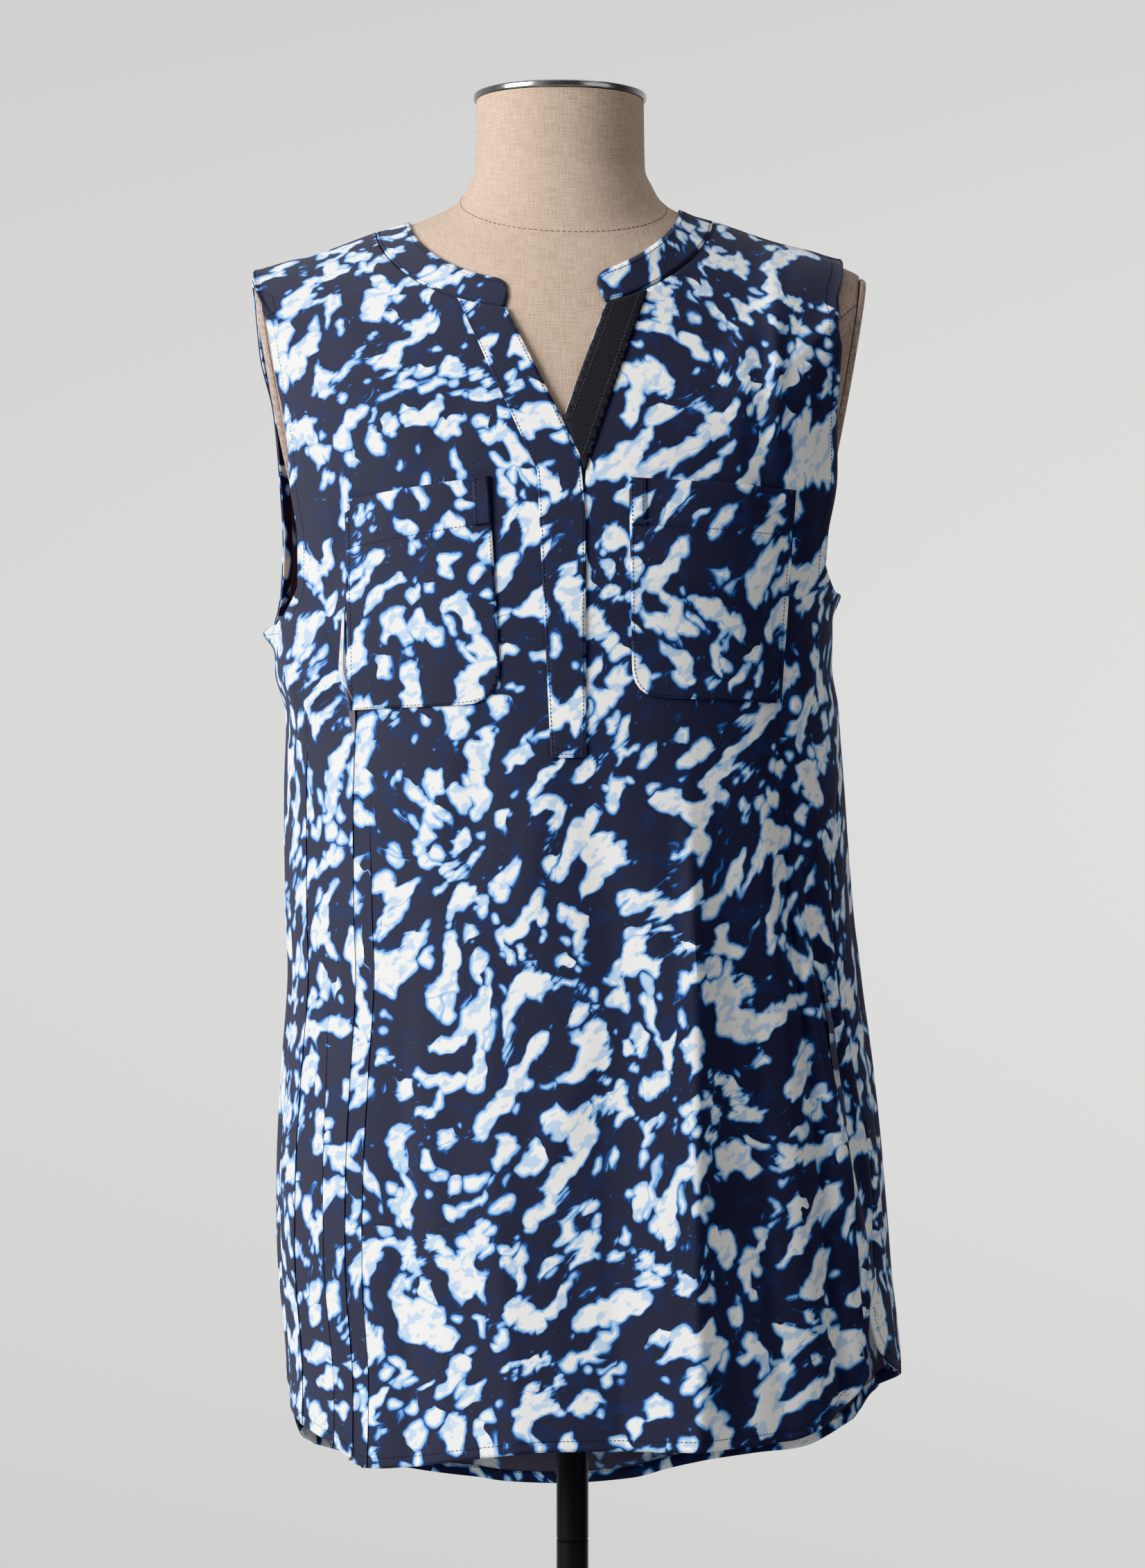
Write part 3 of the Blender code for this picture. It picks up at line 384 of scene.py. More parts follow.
def outline_distance(tree, place):
    """Metres to the nearest outline, positive in a blotch: height over the slope of the height."""
    heights = []
    for step in ((0.0, 0.0, 0.0), (PRINT_STEP, 0.0, 0.0), (0.0, PRINT_STEP, 0.0)):
        spot = put(tree, "VectorMath", {"operation": "ADD"}, {0: place, 1: step})[0]
        heights.append(put(tree, "Group", {"node_tree": PRINT_HEIGHT}, {0: spot})[0])
    across = sums(tree, "SUBTRACT", heights[1], heights[0])
    along = sums(tree, "SUBTRACT", heights[2], heights[0])
    square = sums(tree, "ADD", sums(tree, "MULTIPLY", across, across),
                  sums(tree, "MULTIPLY", along, along))
    rise = sums(tree, "ADD", sums(tree, "MINIMUM", sums(tree, "SQRT", square), 0.080), 0.009)
    return sums(tree, "MULTIPLY", sums(tree, "DIVIDE", heights[0], rise), PRINT_STEP)


RIM_INSIDE = 0.0030       # metres from a blotch's outline inwards, and outwards below, that its
RIM_OUTSIDE = 0.0060      # blue rim fades over
STAIN_INSIDE = 0.0012     # where the dark ground starts to show pale stains
SMUDGE_OUTSIDE = 0.0008   # where a blotch starts to show blue smudges


def print_colour(tree, place):
    """Navy ground, white blotches and blue rims, by the distance to a blotch's outline."""
    distance = outline_distance(tree, place)
    share = put(tree, "MapRange", {}, {"Value": distance, "From Min": -RIM_INSIDE,
                                       "From Max": RIM_OUTSIDE})[0]
    ink = coloured(tree, share, [(0.0, NAVY), (0.16, NAVY), (0.20, ROYAL), (0.25, MID_BLUE),
                                 (0.29, SKY), (0.38, HALO), (0.43, PALE), (0.47, WHITE)])
    cloud = put(tree, "TexNoise", {"noise_dimensions": "2D"},
                {"Vector": place, "Scale": 60.0, "Detail": 2.0})["Fac"]
    stain = put(tree, "MapRange", {"interpolation_type": "SMOOTHSTEP"},
                {"Value": cloud, "From Min": 0.56, "From Max": 0.68, "To Max": 0.40})[0]
    under = sums(tree, "MULTIPLY", stain, sums(tree, "LESS_THAN", distance, -STAIN_INSIDE))
    wash = put(tree, "TexNoise", {"noise_dimensions": "2D"},
               {"Vector": turned(tree, place, 40.0, (90.0, 150.0)), "Scale": 1.0,
                "Detail": 2.0})["Fac"]
    smudge = put(tree, "MapRange", {"interpolation_type": "SMOOTHSTEP"},
                 {"Value": wash, "From Min": 0.52, "From Max": 0.64, "To Max": 0.70})[0]
    outside = sums(tree, "GREATER_THAN", distance, SMUDGE_OUTSIDE)
    over = sums(tree, "MULTIPLY", smudge, outside)
    return mixed(tree, over, mixed(tree, under, ink, DEEP_BLUE), HALO)


def print_finish(name, shift, turn=0.0, wrong_side=False):
    """The printed cloth. The wrong side shows the ink that came through, greyer and paler."""
    material, tree, shader = new_finish(name, 0.78, specular=0.20)
    uv = put(tree, "UVMap", {"uv_map": "cloth"}, {})[0]
    place = put(tree, "Mapping", {}, {"Vector": uv, "Location": (*shift, 0.0),
                                      "Rotation": (0.0, 0.0, math.radians(turn))})[0]
    colour = print_colour(tree, place)
    if wrong_side:
        colour = mixed(tree, 0.42, colour, (0.235, 0.225, 0.245))
    tree.links.new(colour, shader.inputs["Base Color"])
    shader.inputs["Sheen Weight"].default_value = 0.12
    shader.inputs["Sheen Roughness"].default_value = 0.45
    slub = put(tree, "TexNoise", {"noise_dimensions": "2D"},
               {"Vector": turned(tree, uv, 0.0, (60.0, 1400.0)), "Scale": 1.0})["Fac"]
    threads = sums(tree, "ABSOLUTE", weave(tree, uv, CLOTH_THREAD))
    height = sums(tree, "ADD", threads, sums(tree, "MULTIPLY", slub, 0.8))
    raise_surface(tree, shader, height, 0.00008, 0.6)
    return material


PRINT_INSIDE = print_finish("print_wrong_side", (0.31, 0.12), wrong_side=True)
print("print ready, wrong side", PRINT_INSIDE.name)

# %% [markdown]
# ## The other finishes
# The form is covered with coarse linen, whose threads vary in colour and thickness. Its shoulder
# boards have a smooth brown cloth, its neck a polished cap, and the stand is painted black. The V
# is edged with black ribbed ribbon. Ribs, threads and scratches are all heights and colours from
# stretched noise and waves, at the size that the real ones have.

# %% Linen, board cloth, ribbon, thread, metal and paint
SHOULDER_SHADE_START = 0.158    # distance from the middle where the painted shade on the shoulders begins


def linen_finish():
    material, tree, shader = new_finish("linen_cover", 0.85, specular=0.2)
    uv = put(tree, "UVMap", {"uv_map": "cloth"}, {})[0]
    upright, level = (put(tree, "TexNoise", {"noise_dimensions": "2D"}, {
        "Vector": turned(tree, uv, 0.0, scale), "Scale": 1.0, "Detail": 2.0})["Fac"]
        for scale in ((950.0, 90.0), (90.0, 950.0)))
    both = sums(tree, "MULTIPLY", sums(tree, "ADD", upright, level), 0.5)
    thread = coloured(tree, both, [(0.34, (0.500, 0.410, 0.340)), (0.46, (0.570, 0.480, 0.405)),
                                   (0.54, (0.610, 0.520, 0.445)), (0.66, (0.670, 0.590, 0.520))])
    # painted shade: past the shoulders the linen's own brownish tint is darkened to stand in for
    # shade
    shoulder_shade_tone = coloured(tree, both, [(0.36, (0.300, 0.235, 0.200)), (0.64, (0.480, 0.390, 0.340))])
    parts = put(tree, "SeparateXYZ", {}, {0: put(tree, "TexCoord", {}, {})["Object"]})
    aside = sums(tree, "ABSOLUTE", sums(tree, "SUBTRACT", parts[0], FORM_X))
    shoulder_shade_share = put(tree, "MapRange", {}, {"Value": aside, "From Min": SHOULDER_SHADE_START,
                                          "From Max": SHOULDER_SHADE_START + 0.002})[0]
    over = weave(tree, uv, LINEN_THREAD)
    height = sums(tree, "ABSOLUTE", over)
    gap = put(tree, "MapRange", {}, {"Value": height, "From Max": 0.30, "To Min": 0.40,
                                     "To Max": 0.0})[0]
    weft = put(tree, "MapRange", {"interpolation_type": "SMOOTHSTEP"},
               {"Value": over, "From Min": 0.25, "From Max": -0.25, "To Max": 0.62})[0]
    thread = mixed(tree, weft, thread, (0.430, 0.265, 0.170))
    plain = mixed(tree, gap, thread, (0.250, 0.165, 0.110))
    # the shoulders' linen with painted shade, its gaps darker still
    brown = mixed(tree, gap, shoulder_shade_tone, (0.140, 0.105, 0.090))
    tree.links.new(mixed(tree, shoulder_shade_share, plain, brown), shader.inputs["Base Color"])
    relief = sums(tree, "ADD", height, sums(tree, "MULTIPLY", both, 0.8))
    raise_surface(tree, shader, relief, 0.00018, 0.7)
    shader.inputs["Sheen Weight"].default_value = 0.08
    return material


def plain_finish(name, dark, light, roughness, metallic=0.0, grain=400.0, relief=0.00004):
    """Two near colours in a fine noise, with the same noise as relief."""
    material, tree, shader = new_finish(name, roughness, metallic)
    spot = put(tree, "TexCoord", {}, {})["Object"]
    noise = put(tree, "TexNoise", {}, {"Vector": spot, "Scale": grain, "Detail": 3.0})["Fac"]
    tree.links.new(coloured(tree, noise, [(0.35, dark), (0.65, light)]),
                   shader.inputs["Base Color"])
    rough = put(tree, "MapRange", {}, {"Value": noise, "To Min": roughness - 0.08,
                                       "To Max": roughness + 0.08})[0]
    tree.links.new(rough, shader.inputs["Roughness"])
    raise_surface(tree, shader, noise, relief)
    return material


def ribbon_finish():
    material, tree, shader = new_finish("ribbed_ribbon", 0.70, specular=0.2)
    uv = put(tree, "UVMap", {"uv_map": "cloth"}, {})[0]
    parts = put(tree, "SeparateXYZ", {}, {0: turned(tree, uv, -21.0, (1.0, 1.0))})
    rib = sums(tree, "SINE", sums(tree, "MULTIPLY", parts[1], 2.0 * math.pi / 0.0011))
    noise = put(tree, "TexNoise", {}, {"Vector": uv, "Scale": 900.0})["Fac"]
    tree.links.new(coloured(tree, noise, [(0.35, (0.038, 0.038, 0.043)),
                                          (0.70, (0.060, 0.060, 0.067))]),
                   shader.inputs["Base Color"])
    raise_surface(tree, shader, rib, 0.00018)
    return material


LINEN = linen_finish()
RIBBON = ribbon_finish()
BOARD = plain_finish("shoulder_board", (0.300, 0.235, 0.200), (0.470, 0.380, 0.335), 0.70)
THREAD = plain_finish("navy_thread", (0.012, 0.012, 0.022), (0.030, 0.030, 0.050), 0.60)
GREY_THREAD = plain_finish("grey_thread", (0.085, 0.087, 0.098), (0.150, 0.152, 0.163), 0.60)
FORM_THREAD = plain_finish("brown_thread", (0.110, 0.045, 0.030), (0.190, 0.085, 0.055), 0.70)
CAP_METAL = plain_finish("polished_cap", (0.300, 0.300, 0.310), (0.380, 0.380, 0.390), 0.20,
                         1.0, 150.0, 0.00001)
BLACK_PAINT = plain_finish("black_paint", (0.010, 0.011, 0.012), (0.018, 0.019, 0.020), 0.34,
                           0.0, 900.0, 0.00002)
FLOOR_FINISH = plain_finish("pale_floor", (0.560, 0.560, 0.550), (0.600, 0.600, 0.590), 0.80,
                            0.0, 6.0, 0.0001)
print(len(bpy.data.materials), "materials so far, those of the frame among them")

# %% [markdown]
# ## Sheets that know their own length
# A print must not stretch where the surface bends, so every sheet carries a map in metres: one
# number is the way round it, measured over its folds, and the other the way down. The sheet
# starts as a plain grid, each point is moved to its place, and the lengths are added up after.

# %% Make a mapped sheet and turn it into an object
def sheet_grid(columns, rows, place, middle=0.5):
    """A grid whose points move to place(across, down), mapped in metres from its middle."""
    bm = bmesh.new()
    bmesh.ops.create_grid(bm, x_segments=columns, y_segments=rows, size=1.0)
    index = {}
    for vert in bm.verts:
        cell = round(0.5 * (vert.co.x + 1.0) * columns), round(0.5 * (1.0 - vert.co.y) * rows)
        index[vert] = cell
        vert.co = place(cell[0] / columns, cell[1] / rows)
    spot = {cell: vert.co for vert, cell in index.items()}
    centre = round(columns * middle)
    down = [0.0]
    for j in range(rows):
        down.append(down[-1] + (spot[centre, j + 1] - spot[centre, j]).length)
    length = {}
    for j in range(rows + 1):
        length[centre, j] = 0.0
        for i in range(centre, columns):
            length[i + 1, j] = length[i, j] + (spot[i + 1, j] - spot[i, j]).length
        for i in range(centre, 0, -1):
            length[i - 1, j] = length[i, j] - (spot[i - 1, j] - spot[i, j]).length
    layer = bm.loops.layers.uv.new("cloth")
    for face in bm.faces:
        for loop in face.loops:
            i, j = index[loop.vert]
            loop[layer].uv = (length[i, j], -down[j])
    return bm


def face_away(bm, centre):
    """Turn the faces of an open sheet away from an upright axis."""
    bm.normal_update()
    out = 0.0
    for face in bm.faces:
        away = face.calc_center_median() - centre
        out += (face.normal.x * away.x + face.normal.y * away.y) * face.calc_area()
    if out < 0.0:
        bmesh.ops.reverse_faces(bm, faces=bm.faces[:])
    bm.normal_update()


def add_piece(bm, name, finishes, nodes=(), smooth_angle=50.0):
    """Store a bmesh as a piece that rides on the part and stands for its CAD nodes."""
    mesh = bpy.data.meshes.new(name)
    bm.to_mesh(mesh)
    bm.free()
    piece = bpy.data.objects.new(name, mesh)
    bpy.context.scene.collection.objects.link(piece)
    for finish in finishes:
        mesh.materials.append(finish)
    mesh.shade_smooth()
    mesh.set_sharp_from_angle(angle=math.radians(smooth_angle))
    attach(piece, "root")
    if nodes:
        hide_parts(*nodes)
    print(name, len(mesh.polygons), "faces")
    return piece


def thicken(piece, thickness, offset, inside=0):
    """Give a sheet its thickness; inside=1 puts the second material on the far side."""
    wall = piece.modifiers.new("wall", "SOLIDIFY")
    wall.thickness = thickness
    wall.offset = offset
    wall.material_offset = inside
    wall.use_even_offset = False


# %% [markdown]
# ## The dress form
# A limbless form is a papier mache or foam torso with linen pulled tight over it. It has a neck,
# sloping shoulders and a flat end on each side where the arms would be. It could be sculpted, but
# rings again give the exact body that the cloth hangs on. The flat ends come from holding the
# points behind a leaning plane, softly, so that the cover rolls over the edge as padding does.

# %% Shape the form
PLATE_TOP = 1.3764
PLATE_TOP_X = 0.1930
PLATE_LEAN = 0.18
ARM_CUT_LOW = 1.1800
EDGE_ROLL = 0.0012
FORM_TOP = 1.4953
FORM_BOTTOM = 0.8000


def held_back(reach, limit):
    """The smaller of two lengths, with a soft change from one to the other."""
    low, high = min(reach, limit), max(reach, limit)
    return low - EDGE_ROLL * math.log1p(math.exp((low - high) / EDGE_ROLL))


def form_point(level, angle):
    size = form_sizes(level)
    point = ring_point(level, angle, (0.0, size["mid_y"]), size["half"], size["front"],
                       size["back"], size["side_z"], size["back_z"])
    limit = PLATE_TOP_X - PLATE_LEAN * (PLATE_TOP - point.z)
    fade = smooth_step((point.z - ARM_CUT_LOW) / 0.02)
    if fade > 0.0:
        held = math.copysign(held_back(abs(point.x), limit), point.x)
        point.x += (held - point.x) * fade
    point.x += FORM_X
    return point


def form_place(across, down):
    level = FORM_TOP + (FORM_BOTTOM - FORM_TOP) * down
    return form_point(round(level, 6), 360.0 * across - 180.0)


form = sheet_grid(200, 230, form_place)
bmesh.ops.remove_doubles(form, verts=form.verts[:], dist=0.00005)
bmesh.ops.holes_fill(form, edges=[edge for edge in form.edges if edge.is_boundary], sides=0)
bmesh.ops.recalc_face_normals(form, faces=form.faces[:])
form.normal_update()
FORM_TREE = BVHTree.FromBMesh(form)
add_piece(form, "form_cover", [LINEN], ["form_torso"])

# %% [markdown]
# ## Sewing
# Seams read as sewn when single stitches can be seen on them. One stitch is a small ball drawn out
# along the seam and sunk half its thickness into the cloth. A few dozen faces are enough for it,
# because a seam has hundreds. The helper walks along a line that already lies on the cloth and
# sets a stitch at every step.

# %% A helper that sews along a line
STITCH = 0.0021
STITCH_GAP = 0.0005


def walk(points, step):
    """Points and directions at equal steps along a line."""
    ahead, found = 0.0, []
    for start, end in zip(points, points[1:]):
        span = (end - start).length
        while ahead <= span and span > 0.0:
            found.append((start + (end - start) * (ahead / span), (end - start) / span))
            ahead += step
        ahead -= span
    return found


def sew(bm, points, normal_at, length=STITCH, gap=STITCH_GAP, width=0.00027, proud=0.00010):
    """Add stitches along a line; normal_at gives the cloth's outward direction at a point."""
    for spot, along in walk(points, length + gap):
        out = normal_at(spot)
        side = along.cross(out).normalized()
        out = side.cross(along).normalized()
        turn = Matrix((along, side, out)).transposed().to_4x4()
        shape = Matrix.Diagonal((0.5 * length, width, width, 1.0))
        place = Matrix.Translation(spot + out * proud) @ turn @ shape
        bmesh.ops.create_icosphere(bm, subdivisions=1, radius=1.0, matrix=place)


def normal_on(tree):
    return lambda spot: tree.find_nearest(spot)[1]


print("stitches", STITCH * 1000, "mm long")

# %% [markdown]
# ## The form's seams, end boards and cap
# The cover of the neck is sewn to that of the body by hand, in a line that dips at the front. The
# line is found where the form crosses a tilted plane, and a shorter seam crosses each shoulder. The
# end boards are ovals and the cap is a thin disc: both start as a cone primitive with equal ends,
# whose rims a bevel then rounds.

# %% Sew the form's seams
NECK_SEAM_Z = 1.4325
NECK_SEAM_SIDE = -0.035
NECK_SEAM_DEPTH = 0.453
NECK_SEAM_TOP = 1.4500    # the seam is looked for between these heights
NECK_SEAM_LOW = 1.3600
HALVINGS = 24             # times that this stretch is halved


def neck_seam_spot(angle):
    """Where the form meets the seam's plane at this angle."""
    high, low = NECK_SEAM_TOP, NECK_SEAM_LOW
    for _ in range(HALVINGS):
        level = 0.5 * (high + low)
        spot = form_point(level, angle)
        plane = NECK_SEAM_Z + NECK_SEAM_SIDE * spot.x + NECK_SEAM_DEPTH * (spot.y - NECK_Y)
        if spot.z > plane:
            high = level
        else:
            low = level
    return form_point(0.5 * (high + low), angle)


SHOULDER_SEAM = ((0.1960, 1.3750), (0.1500, 1.3320))   # from the edge inwards, as (x, z)


def form_line(start, end, steps=40):
    """Points of the form's front that lie behind a line of (x, z) points."""
    found = []
    for k in range(steps + 1):
        x, z = (a + (b - a) * k / steps for a, b in zip(start, end))
        hit = FORM_TREE.ray_cast(Vector((x, -1.0, z)), Vector((0.0, 1.0, 0.0)))[0]
        if hit is not None:
            found.append(hit)
    return found


seam = bmesh.new()
for side in (-1.0, 1.0):
    ends = [(FORM_X + side * (x - FORM_X), z) for x, z in SHOULDER_SEAM]
    sew(seam, form_line(*ends), normal_on(FORM_TREE), 0.0030, 0.0010, 0.00035)
neck_line = [neck_seam_spot(angle) for angle in range(-180, 181, 3)]
sew(seam, neck_line, normal_on(FORM_TREE), 0.0030, 0.0006, 0.00028)
add_piece(seam, "form_seams", [FORM_THREAD])

# %% Cut the boards and the cap
PLATE_HEIGHT = 0.1420
PLATE_DEPTH = 0.0860
PLATE_WALL = 0.0040
PLATE_Z = 1.3120
PLATE_Y = -0.0050
CAP_TOP = 1.5000
CAP_RADIUS = 0.0558
GAP = 0.0003


def soft_disc(radius, height, rounding, face=0.0):
    """A disc on the origin with rounded rims, or only the rim of the face at +Z or -Z."""
    bm = bmesh.new()
    bmesh.ops.create_cone(bm, cap_ends=True, segments=96, radius1=radius, radius2=radius,
                          depth=height)
    rims = [edge for edge in bm.edges if abs(edge.verts[0].co.z - edge.verts[1].co.z) < 1e-6
            and edge.verts[0].co.z * face >= 0.0]
    bmesh.ops.bevel(bm, geom=rims, offset=rounding, segments=6, profile=0.5, affect="EDGES",
                    material=-1)
    return bm


for side, name in ((-1.0, "left"), (1.0, "right")):
    board = soft_disc(0.5 * PLATE_HEIGHT, PLATE_WALL, 0.0036, side)
    lean = side * math.atan(PLATE_LEAN)
    reach = PLATE_TOP_X - PLATE_LEAN * (PLATE_TOP - PLATE_Z)
    out = reach + (0.5 * PLATE_WALL + GAP) / math.cos(lean)
    stand_up = Matrix.Rotation(math.radians(90.0), 4, "Y")
    shape = Matrix.Diagonal((1.0, PLATE_DEPTH / PLATE_HEIGHT, 1.0, 1.0))
    place = Matrix.Translation((FORM_X + side * out, PLATE_Y, PLATE_Z))
    board.transform(place @ Matrix.Rotation(lean, 4, "Y") @ shape @ stand_up)
    bmesh.ops.recalc_face_normals(board, faces=board.faces[:])
    add_piece(board, "form_board_" + name, [BOARD], ["arm_plate_" + name], 30.0)

cap = soft_disc(CAP_RADIUS, CAP_TOP - FORM_TOP - GAP, 0.0012)
cap.transform(Matrix.Translation((FORM_X, NECK_Y, 0.5 * (CAP_TOP + FORM_TOP + GAP))))
add_piece(cap, "form_neck_cap", [CAP_METAL], ["neck_cap"], 30.0)

# %% [markdown]
# ## The stand
# Pole, flange, socket and base are turned metal. The real ones are a tube, a pressed flange and a
# flat round base with a socket that grips the tube. They could be cylinders, but spinning one
# profile round the axis gives each its rounded shoulders in a single step, as a lathe does.

# %% Spin the stand's parts
POLE_RADIUS = 0.01035
BASE_RADIUS = 0.1900
BASE_HEIGHT = 0.0080
SOCKET_RADIUS = 0.0240
SOCKET_HEIGHT = 0.0380
FLANGE_RADIUS = 0.0450
FLANGE_HEIGHT = 0.0040
POLE_JOINT = 0.5650       # a faint ring where the tube's two lengths meet


def rounded_profile(radius, low, high, rounding, steps=4):
    """Half outline of a disc or rod, from the axis at its foot to the axis at its top."""
    line = [(0.0, low)]
    for k in range(steps + 1):
        turn = math.radians(90.0 * k / steps)
        line.append((radius - rounding + rounding * math.sin(turn),
                     low + rounding - rounding * math.cos(turn)))
    for k in range(steps + 1):
        turn = math.radians(90.0 * k / steps)
        line.append((radius - rounding + rounding * math.cos(turn),
                     high - rounding + rounding * math.sin(turn)))
    return line + [(0.0, high)]


SAME_SPOT = 0.00001       # points closer than this are one point


def spun(profile, steps=96):
    bm = bmesh.new()
    verts = [bm.verts.new((x, 0.0, z)) for x, z in profile]
    edges = [bm.edges.new(pair) for pair in zip(verts, verts[1:])]
    bmesh.ops.spin(bm, geom=verts + edges, cent=(0.0, 0.0, 0.0), axis=(0.0, 0.0, 1.0),
                   angle=2.0 * math.pi, steps=steps, use_merge=True)
    bmesh.ops.remove_doubles(bm, verts=bm.verts[:], dist=SAME_SPOT)
    bmesh.ops.recalc_face_normals(bm, faces=bm.faces[:])
    return bm


GROOVE_DEPTH = 0.0005     # of the line where the pole's two tubes meet
GROOVE_MOUTH = 0.0008     # half its height at the surface and at its floor
GROOVE_FLOOR = 0.0003
flange_low = FORM_BOTTOM - GAP - FLANGE_HEIGHT
socket_top = BASE_HEIGHT + GAP + SOCKET_HEIGHT
pole_profile = rounded_profile(POLE_RADIUS, socket_top + GAP, flange_low - GAP, 0.0006)
groove_radius = POLE_RADIUS - GROOVE_DEPTH
ring = [(POLE_RADIUS, POLE_JOINT - GROOVE_MOUTH), (groove_radius, POLE_JOINT - GROOVE_FLOOR),
        (groove_radius, POLE_JOINT + GROOVE_FLOOR), (POLE_RADIUS, POLE_JOINT + GROOVE_MOUTH)]
half = len(pole_profile) // 2
pole_profile = pole_profile[:half] + ring + pole_profile[half:]
add_piece(spun(pole_profile), "stand_pole", [BLACK_PAINT], ["pole"], 30.0)
add_piece(spun(rounded_profile(FLANGE_RADIUS, flange_low, FORM_BOTTOM - GAP, 0.0012)),
          "stand_flange", [BLACK_PAINT], ["pole_flange"], 30.0)
add_piece(spun(rounded_profile(SOCKET_RADIUS, BASE_HEIGHT + GAP, socket_top, 0.0030)),
          "stand_socket", [BLACK_PAINT], ["base_socket"], 30.0)
add_piece(spun(rounded_profile(BASE_RADIUS, 0.0, BASE_HEIGHT, 0.0030)), "stand_base",
          [BLACK_PAINT], ["base_disc"], 30.0)

# %% [markdown]
# ## The tunic's surface
# The cloth touches the form at the shoulders, the bust and the shoulder blades, and hangs free
# below. Its long folds start under the bust and deepen to the hem. They could come from a cloth
# simulation, but the real folds are pressed in and have their own places, so they are listed one
# by one: each is a row that says where its ridge runs, how far the cloth falls away on either side
# and how deep. Where one side is narrower than a degree the fold is a pleat: its edge slides over
# the cloth beside it and hides a strip of the print.

# %% Folds and creases
FOLD_COLUMNS = ("top_angle", "low_angle", "top_z", "full_z", "left", "right", "depth")
FOLDS = (
    (-44.0, -49.0, 1.245, 1.080, 9.0, 0.8, 0.0022),
    (-39.5, -45.0, 1.080, 0.950, 4.5, 0.8, 0.0014),
    (-62.0, -69.0, 1.140, 1.000, 8.0, 0.8, 0.0022),
    (-54.5, -54.5, 0.950, 0.850, 5.0, 0.8, 0.0014),
    (-79.0, -83.0, 1.120, 0.900, 7.0, 6.0, -0.0045),
    (-31.0, -34.0, 1.050, 0.780, 9.0, 9.0, -0.0035),
    (-14.0, -12.0, 0.980, 0.760, 9.0, 7.0, 0.0025),
    (4.0, 3.0, 1.020, 0.780, 9.0, 9.0, -0.0025),
    (23.5, 14.5, 1.090, 0.930, 13.0, 9.0, 0.0105),
    (35.0, 33.0, 1.010, 0.820, 7.0, 7.0, -0.0030),
    (47.5, 51.0, 1.130, 0.980, 8.0, 5.0, -0.0070),
    (57.0, 57.0, 0.970, 0.860, 5.0, 0.8, 0.0022),
    (80.0, 84.0, 1.090, 0.840, 8.0, 8.0, -0.0045),
    (104.0, 106.0, 1.120, 0.880, 10.0, 10.0, -0.0055),
    (120.0, 124.0, 1.200, 0.900, 10.0, 10.0, 0.0060),
    (137.0, 140.0, 1.180, 0.860, 10.0, 10.0, -0.0060),
    (158.0, 160.0, 1.120, 0.820, 13.0, 13.0, 0.0055),
    (-176.0, -176.0, 1.060, 0.800, 13.0, 13.0, -0.0050),
    (-158.0, -160.0, 1.140, 0.840, 11.0, 11.0, 0.0055),
    (-140.0, -142.0, 1.180, 0.880, 10.0, 10.0, -0.0060),
    (-122.0, -126.0, 1.200, 0.900, 10.0, 10.0, 0.0060),
    (-105.0, -108.0, 1.120, 0.860, 10.0, 10.0, -0.0050),
)
FOLDS = [dict(zip(FOLD_COLUMNS, row)) for row in FOLDS]
FOLD_CURVE = 1.5          # power of a fold's flanks: 1 is straight, more is hollow
PLEAT = 1.0               # a fold whose right side is narrower than this is a pleat
PLEAT_SLIDE = 0.0030      # how far its edge slides, and the cloth under it the other way
PLEAT_SPREAD = 5.0        # degrees over which the cloth under it comes to rest
PLEAT_RISE = 0.4          # share of its depth that a pleat, pressed flat, stands proud

# The cloth stands out in a small point below each armhole: angle, height and depth.
TIPS = ((-90.0, 1.1530, 0.0077), (90.0, 1.1760, 0.0047))
TIP_ANGLE = 8.0           # spread of a point round the body, degrees
TIP_HEIGHT = 0.0080       # and up and down it

